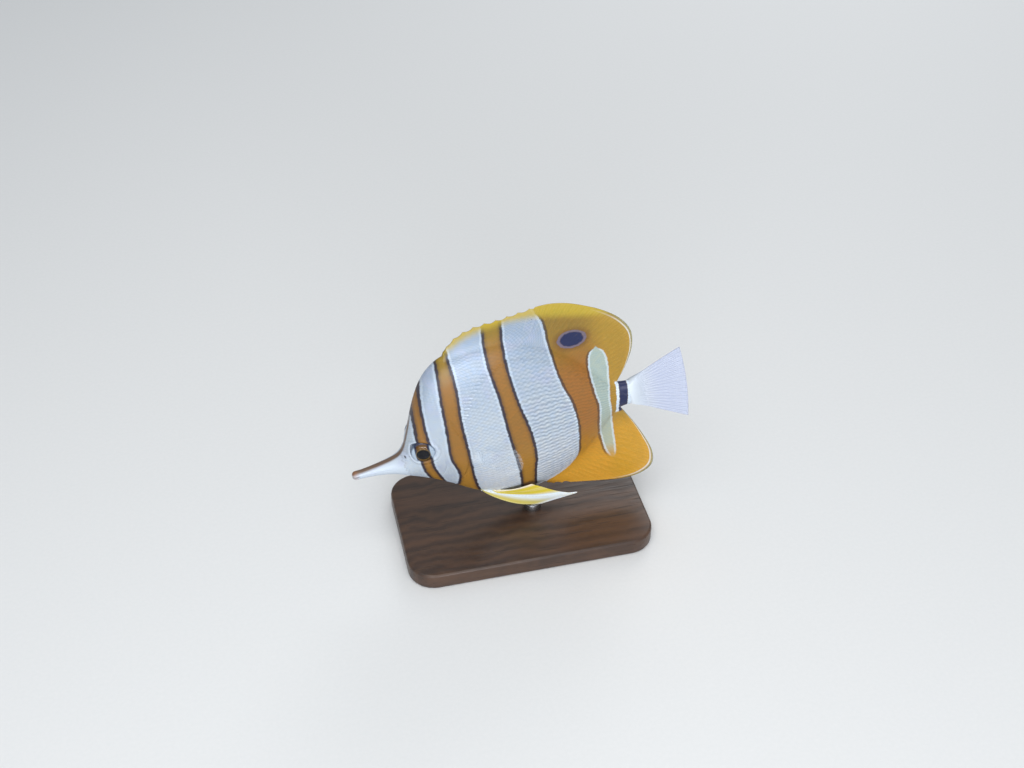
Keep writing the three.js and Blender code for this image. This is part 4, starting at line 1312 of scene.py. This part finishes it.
def dorsal_fin():
    spiny = middle_fin(DORSAL_SPINES, back, -ROOT_SINK)
    soft = middle_fin(DORSAL_RAYS, back, -ROOT_SINK)
    spiny_rays, soft_rays = DORSAL_SPINES["rays"], DORSAL_RAYS["rays"]
    share = DORSAL["spiny_share"]

    def shape(u, v):
        in_spiny = u < share
        su = np.clip(u / share, 0, 1)
        ru = np.clip((u - share) / (1 - share), 0, 1)
        notch = membrane_notch(su * spiny_rays, between(DORSAL_SPINES["notch"], su)) * in_spiny
        flat = np.where(in_spiny[:, None], spiny(su, v * (1 - notch)), soft(ru, v))
        place = np.where(in_spiny, su * spiny_rays, spiny_rays + ru * soft_rays)
        ridge = np.where(in_spiny, 0, ray_ridge(ru * soft_rays, v, *DORSAL["fork"]))
        return upright(flat, back, place, v, ridge, ease(*DORSAL["soft_from"], ru))

    closed_fin(
        "dorsal_fin", DORSAL["grid"], shape, MEDIAN_FIN,
        ("dorsal_fin_spines", "dorsal_fin_rays"), fin_spines(DORSAL_SPINES, spiny),
        DORSAL_SPINES["spine_radius"],
    )
    fin_scales("dorsal_scales", DORSAL, shape)


def anal_fin():
    place_of = middle_fin(ANAL, belly, ROOT_SINK)

    def shape(u, v):
        place = u * ANAL["rays"]
        notch = membrane_notch(place, ANAL["notch"]) * (place < ANAL["spines"] - 0.5)
        ridge = np.where(place < ANAL["spines"], 0, ray_ridge(place, v, *ANAL["fork"]))
        flat, soft = place_of(u, v * (1 - notch)), ease(*ANAL["soft_from"], u)
        return upright(flat, belly, place, v, ridge, soft)

    closed_fin(
        "anal_fin_rayed", ANAL["grid"], shape, MEDIAN_FIN, ("anal_fin",),
        fin_spines(ANAL, place_of), ANAL["spine_radius"],
    )
    fin_scales("anal_scales", ANAL, shape)


def ray_rise(fin, ridge, v):
    return fin["ray_rise"] * ridge * (1 - RAY_FALL * v)


def caudal_fin():
    fin = CAUDAL
    middle_z = float(back(FLESH_END) + belly(FLESH_END)) / 2

    def shape(u, v):
        level = 1 - 2 * u
        x = between((fin["root_x"], fin["rear_x"] - fin["crown"] * level * level), v)
        high = between((fin["root_high"], fin["rear_high"]), v**0.9)
        ridge = ray_ridge(u * fin["rays"], v, *fin["fork"])
        stem = pc(side_out(fin["root_x"], middle_z + level * fin["root_high"]))
        fleshy = (1 - ease(0, fin["fleshy_to"], v)) ** 1.5
        half = fin["half"] + np.maximum(stem - fin["half"], 0) * fleshy
        half += ray_rise(fin, ridge, v) * ease(*fin["rays_from"], v)
        border = hump(u, fin["border_wide"]) + hump(1 - u, fin["border_wide"])
        half += fin["border"] * border * (1 - v / 2)
        middle = np.stack([pc(x), np.zeros(len(u)), pc(middle_z + level * high)], -1)
        layer = np.stack([u * fin["rays"], v, ridge], -1)
        return middle, SIDEWAYS, half, layer, np.zeros(len(u))

    closed_fin("tail_fin", fin["grid"], shape, TAIL_FIN, ("caudal_fin",))


def paired(point, side, u, v, half, layer):
    """A paired fin as closed_fin takes it. point gives its middle on the left side."""
    nudge = 0.01
    du = point(np.minimum(1, u + nudge), v) - point(np.maximum(0, u - nudge), v)
    dv = point(u, np.minimum(1, v + nudge)) - point(u, np.maximum(0, v - nudge))
    across = np.cross(du, dv)
    across /= np.maximum(np.linalg.norm(across, axis=1, keepdims=True), 1e-9)
    flip = np.array([1.0, -side, 1.0])
    return point(u, v) * flip, across * flip, half, layer, np.zeros(len(u))


def root_swell(fin, v):
    """Half a fin's thickness: fleshy at the root and thin further out."""
    root, tip = fin["half"]
    return tip + (root - tip) * (1 - ease(0, fin["fleshy_to"], v)) ** 1.3


def pectoral_fin(side, tag):
    fin = PECTORAL

    def point(u, v):
        x, z = between(np.array([fin["upper"], fin["lower"]])[:, :, None], u)
        root = np.stack([pc(x), -pc(side_out(x, z) - fin["sink"]), pc(z)], -1)
        fore, up, out = fin["along"]
        up = up + between(fin["fan"], u)
        ray = np.stack([np.full_like(u, fore), np.full_like(u, -out), up], -1)
        ray /= np.linalg.norm(ray, axis=1, keepdims=True)
        (low, low_bend), (high, high_bend) = fin["lower_short"], fin["upper_short"]
        long = pc(fin["long"]) * (1 - low * u**low_bend - high * (1 - u) ** high_bend)
        middle = root + ray * (long * v)[:, None]
        middle[:, 1] += fin["cup"] * np.sin(math.pi * u) * v + fin["flare"] * v * v
        return middle

    def shape(u, v):
        ridge = ray_ridge(u * fin["rays"], v, *fin["fork"])
        half = root_swell(fin, v) + ray_rise(fin, ridge, v)
        return paired(point, side, u, v, half, np.stack([u * fin["rays"], v, ridge], -1))

    name, replaced = f"pectoral_membrane_{tag}", (f"pectoral_fin_{tag}",)
    closed_fin(name, fin["grid"], shape, SIDE_FIN, replaced)


def pelvic_fin(side, tag):
    fin = PELVIC

    def point(u, v):
        x, z = between(np.array([fin["from"], fin["to"]])[:, :, None], u)
        root = np.stack([pc(x), np.full_like(u, -pc(fin["root_out"])), pc(z)], -1)
        tips = curve_through([(pc(a), -pc(c), pc(b)) for a, b, c in fin["tips"]], u)
        middle = root + (tips - root) * v[:, None]
        middle[:, 2] -= fin["sag"] * np.sin(math.pi * v) * (1 - 0.8 * u)
        middle[:, 1] -= fin["aside"] * np.sin(math.pi * v)
        return middle

    def shape(u, v):
        place = u * (len(fin["tips"]) - 1)
        ridge = ray_ridge(place + 0.5, v, *fin["fork"])
        leading = hump(place, fin["spine_wide"]) * (1 - ease(0.9, 1.0, v))
        half = root_swell(fin, v) + ray_rise(fin, ridge, v)
        half += fin["spine"] * leading * (1 - 0.75 * v)
        return paired(point, side, u, v, half, np.stack([place, v, ridge], -1))

    name, replaced = f"pelvic_membrane_{tag}", (f"pelvic_fin_{tag}",)
    closed_fin(name, fin["grid"], shape, PELVIC_FIN, replaced)


dorsal_fin()
anal_fin()
caudal_fin()
for paired_fin in (pectoral_fin, pelvic_fin):
    paired_fin(-1, "left")
    paired_fin(1, "right")


# Eyes

EYE_AROUND, EYE_RINGS = 96, 64
EYEBALL = {"size": 0.965, "flat": 0.86, "swell": 0.05}
DOME = {"size": 1.0, "flat": 1.0, "swell": 0.0}
FLAT_WITHIN, LENS_WIDE = (0.9, 0.2), 0.42


def eye_shell(side, name, form, material, replaced):
    """A ball turned to the side. flat presses its front in, and swell raises a lens there."""
    wide, deep = pc(EYE["across"] / 2) * form["size"], pc(EYE["deep"] / 2) * form["size"]
    turn = side * math.radians(EYE["turn"])
    bm = bmesh.new()
    bmesh.ops.create_uvsphere(bm, u_segments=EYE_AROUND, v_segments=EYE_RINGS, radius=1)
    fore, high, out = coordinates(bm).T
    far, in_front = np.hypot(fore, high), out > 0
    dome = out * (1 - (1 - form["flat"]) * ease(*FLAT_WITHIN, far) * in_front)
    dome = dome + form["swell"] * hump(far, LENS_WIDE) * in_front
    x, y = fore * wide, side * dome * deep
    own = [x * math.cos(turn) - y * math.sin(turn), x * math.sin(turn) + y * math.cos(turn)]
    own = np.stack([*own, high * wide], -1) + eye_middle(side)
    layer = np.stack([fore, high, np.where(in_front, far, 1.0)], -1)
    piece(name, bm, own, material, replaced, {"iris": layer})


for side, tag in ((-1, "left"), (1, "right")):
    eye_shell(side, f"eyeball_{tag}", EYEBALL, IRIS, (f"eye_{tag}",))
    eye_shell(side, f"cornea_{tag}", DOME, CORNEA, ())


# The stand

BASE_THICK, BASE_CORNER, BASE_BEVEL = 0.008, 0.012, 0.0012
CORNER_STEPS, BEVEL_STEPS = 16, 4
ROD_RADIUS, ROD_PAST, ROD_SIDES = 0.0018, 0.001, 48
COLLAR = {"outer": 0.0042, "high": 0.0032, "lip": 0.0008, "round": 0.3, "steps": 64}
GAP = 0.0003


def plain_piece(name, bm, material, replaced):
    bm.normal_update()
    bmesh.ops.recalc_face_normals(bm, faces=bm.faces)
    mesh = bpy.data.meshes.new(name)
    bm.to_mesh(mesh)
    bm.free()
    mesh.shade_smooth()
    mesh.set_sharp_from_angle(angle=SHARP)
    place_piece(name, mesh, material, (replaced,))


def rounded_edges(bm, edges, offset, segments):
    bmesh.ops.bevel(
        bm, geom=edges, offset=offset, offset_type="OFFSET", affect="EDGES",
        segments=segments, profile=0.5, material=-1, clamp_overlap=True,
    )


def rise(edge):
    return abs(edge.verts[0].co.z - edge.verts[1].co.z)


def stand_base():
    low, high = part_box("stand_base")
    bm = bmesh.new()
    bmesh.ops.create_cube(bm, size=1)
    bmesh.ops.scale(bm, vec=high - low, verts=bm.verts)
    bmesh.ops.translate(bm, vec=(low + high) / 2, verts=bm.verts)
    upright_edges = [e for e in bm.edges if rise(e) > BASE_THICK / 2]
    rounded_edges(bm, upright_edges, BASE_CORNER, CORNER_STEPS)
    level_edges = [e for e in bm.edges if rise(e) < 1e-6]
    rounded_edges(bm, level_edges, BASE_BEVEL, BEVEL_STEPS)
    plain_piece("walnut_base", bm, WALNUT, "stand_base")


def stand_rod():
    low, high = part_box("stand_rod")
    centre, foot, top = (low + high) / 2, low.z - GAP, high.z + ROD_PAST
    bm = bmesh.new()
    bmesh.ops.create_cone(
        bm, cap_ends=True, segments=ROD_SIDES, radius1=ROD_RADIUS, radius2=ROD_RADIUS,
        depth=top - foot, matrix=Matrix.Translation((centre.x, centre.y, (foot + top) / 2)),
    )
    plain_piece("steel_rod", bm, STEEL, "stand_rod")


def stand_collar():
    low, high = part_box("stand_collar")
    centre = (low + high) / 2
    inner, outer, lip = ROD_RADIUS + GAP / 2, COLLAR["outer"], COLLAR["lip"]
    foot, top = low.z - GAP, low.z + COLLAR["high"]
    soft = lip * COLLAR["round"]
    profile = [
        (inner, foot), (outer, foot), (outer, top - lip), (outer - soft, top - soft),
        (outer - lip, top), (inner, top),
    ]
    bm = bmesh.new()
    ring = [bm.verts.new((centre.x + r, centre.y, z)) for r, z in profile]
    edges = [bm.edges.new(pair) for pair in zip(ring, ring[1:] + ring[:1])]
    bmesh.ops.spin(
        bm, geom=ring + edges, cent=(centre.x, centre.y, 0), axis=(0, 0, 1), angle=2 * math.pi,
        steps=COLLAR["steps"], use_merge=True,
    )
    plain_piece("steel_collar", bm, STEEL, "stand_collar")


stand_base()
stand_rod()
stand_collar()


# Floor, light and camera

FLOOR_SIZE = 12
CAMERA_AZIMUTH, CAMERA_HEIGHT = math.radians(-13.4), math.radians(40.2)
CAMERA_AIM, CAMERA_AWAY = Vector((-0.00365, 0.0, 0.08252)), 0.603
LENS_LONG, SENSOR_WIDE, SEEN_FROM, SEEN_TO = 50, 36, 0.01, 20
AIR_COLOUR, AIR_STRENGTH = "#E4E9EE", 0.56
# Each light's place, what it points at, its size in metres, its watts and its tint
LIGHTS = {
    "top_softbox": ((-0.1, -0.35, 0.85), (0, 0, 0.06), (0.8, 0.6), 4.3, "#FFFDF8"),
    "front_fill": ((-0.2, -0.92, 0.22), (0, 0, 0.07), (0.7, 0.35), 5.8, "#F6F8FF"),
    "back_rim": ((0.5, 0.8, 0.6), (0, 0, 0.07), (0.5, 0.5), 2.2, "#FFFFFF"),
}


def pale_floor():
    bm = bmesh.new()
    bmesh.ops.create_grid(bm, x_segments=1, y_segments=1, size=FLOOR_SIZE)
    mesh = bpy.data.meshes.new("studio_floor")
    bm.to_mesh(mesh)
    bm.free()
    mesh.materials.append(matt_paper())
    floor = bpy.data.objects.new("studio_floor", mesh)
    bpy.context.scene.collection.objects.link(floor)


def soft_light(name, place, aim, size, power, tint):
    light = bpy.data.lights.new(name, "AREA")
    light.shape = "RECTANGLE"
    light.size, light.size_y = size
    light.energy = power
    light.color = linear(tint)[:3]
    lamp = bpy.data.objects.new(name, light)
    lamp.location = place
    lamp.rotation_euler = (Vector(aim) - Vector(place)).to_track_quat("-Z", "Y").to_euler()
    bpy.context.scene.collection.objects.link(lamp)


def even_air():
    world = bpy.data.worlds.new("studio_air")
    world.use_nodes = True
    background = world.node_tree.nodes["Background"].inputs
    background["Color"].default_value = linear(AIR_COLOUR)
    background["Strength"].default_value = AIR_STRENGTH
    bpy.context.scene.world = world
    bpy.context.scene.view_settings.view_transform = "Standard"


def camera():
    a, e = CAMERA_AZIMUTH, CAMERA_HEIGHT
    right = Vector((math.cos(a), math.sin(a), 0))
    towards = Vector((math.sin(a) * math.cos(e), -math.cos(a) * math.cos(e), math.sin(e)))
    lens = bpy.data.cameras.new("photo_view")
    lens.lens, lens.sensor_width = LENS_LONG, SENSOR_WIDE
    lens.clip_start, lens.clip_end = SEEN_FROM, SEEN_TO
    view = bpy.data.objects.new("photo_view", lens)
    turned = Matrix((right, towards.cross(right), towards)).transposed().to_4x4()
    view.matrix_world = Matrix.Translation(CAMERA_AIM + towards * CAMERA_AWAY) @ turned
    bpy.context.scene.collection.objects.link(view)
    bpy.context.scene.camera = view


pale_floor()
for light_name, setting in LIGHTS.items():
    soft_light(light_name, *setting)
even_air()
camera()
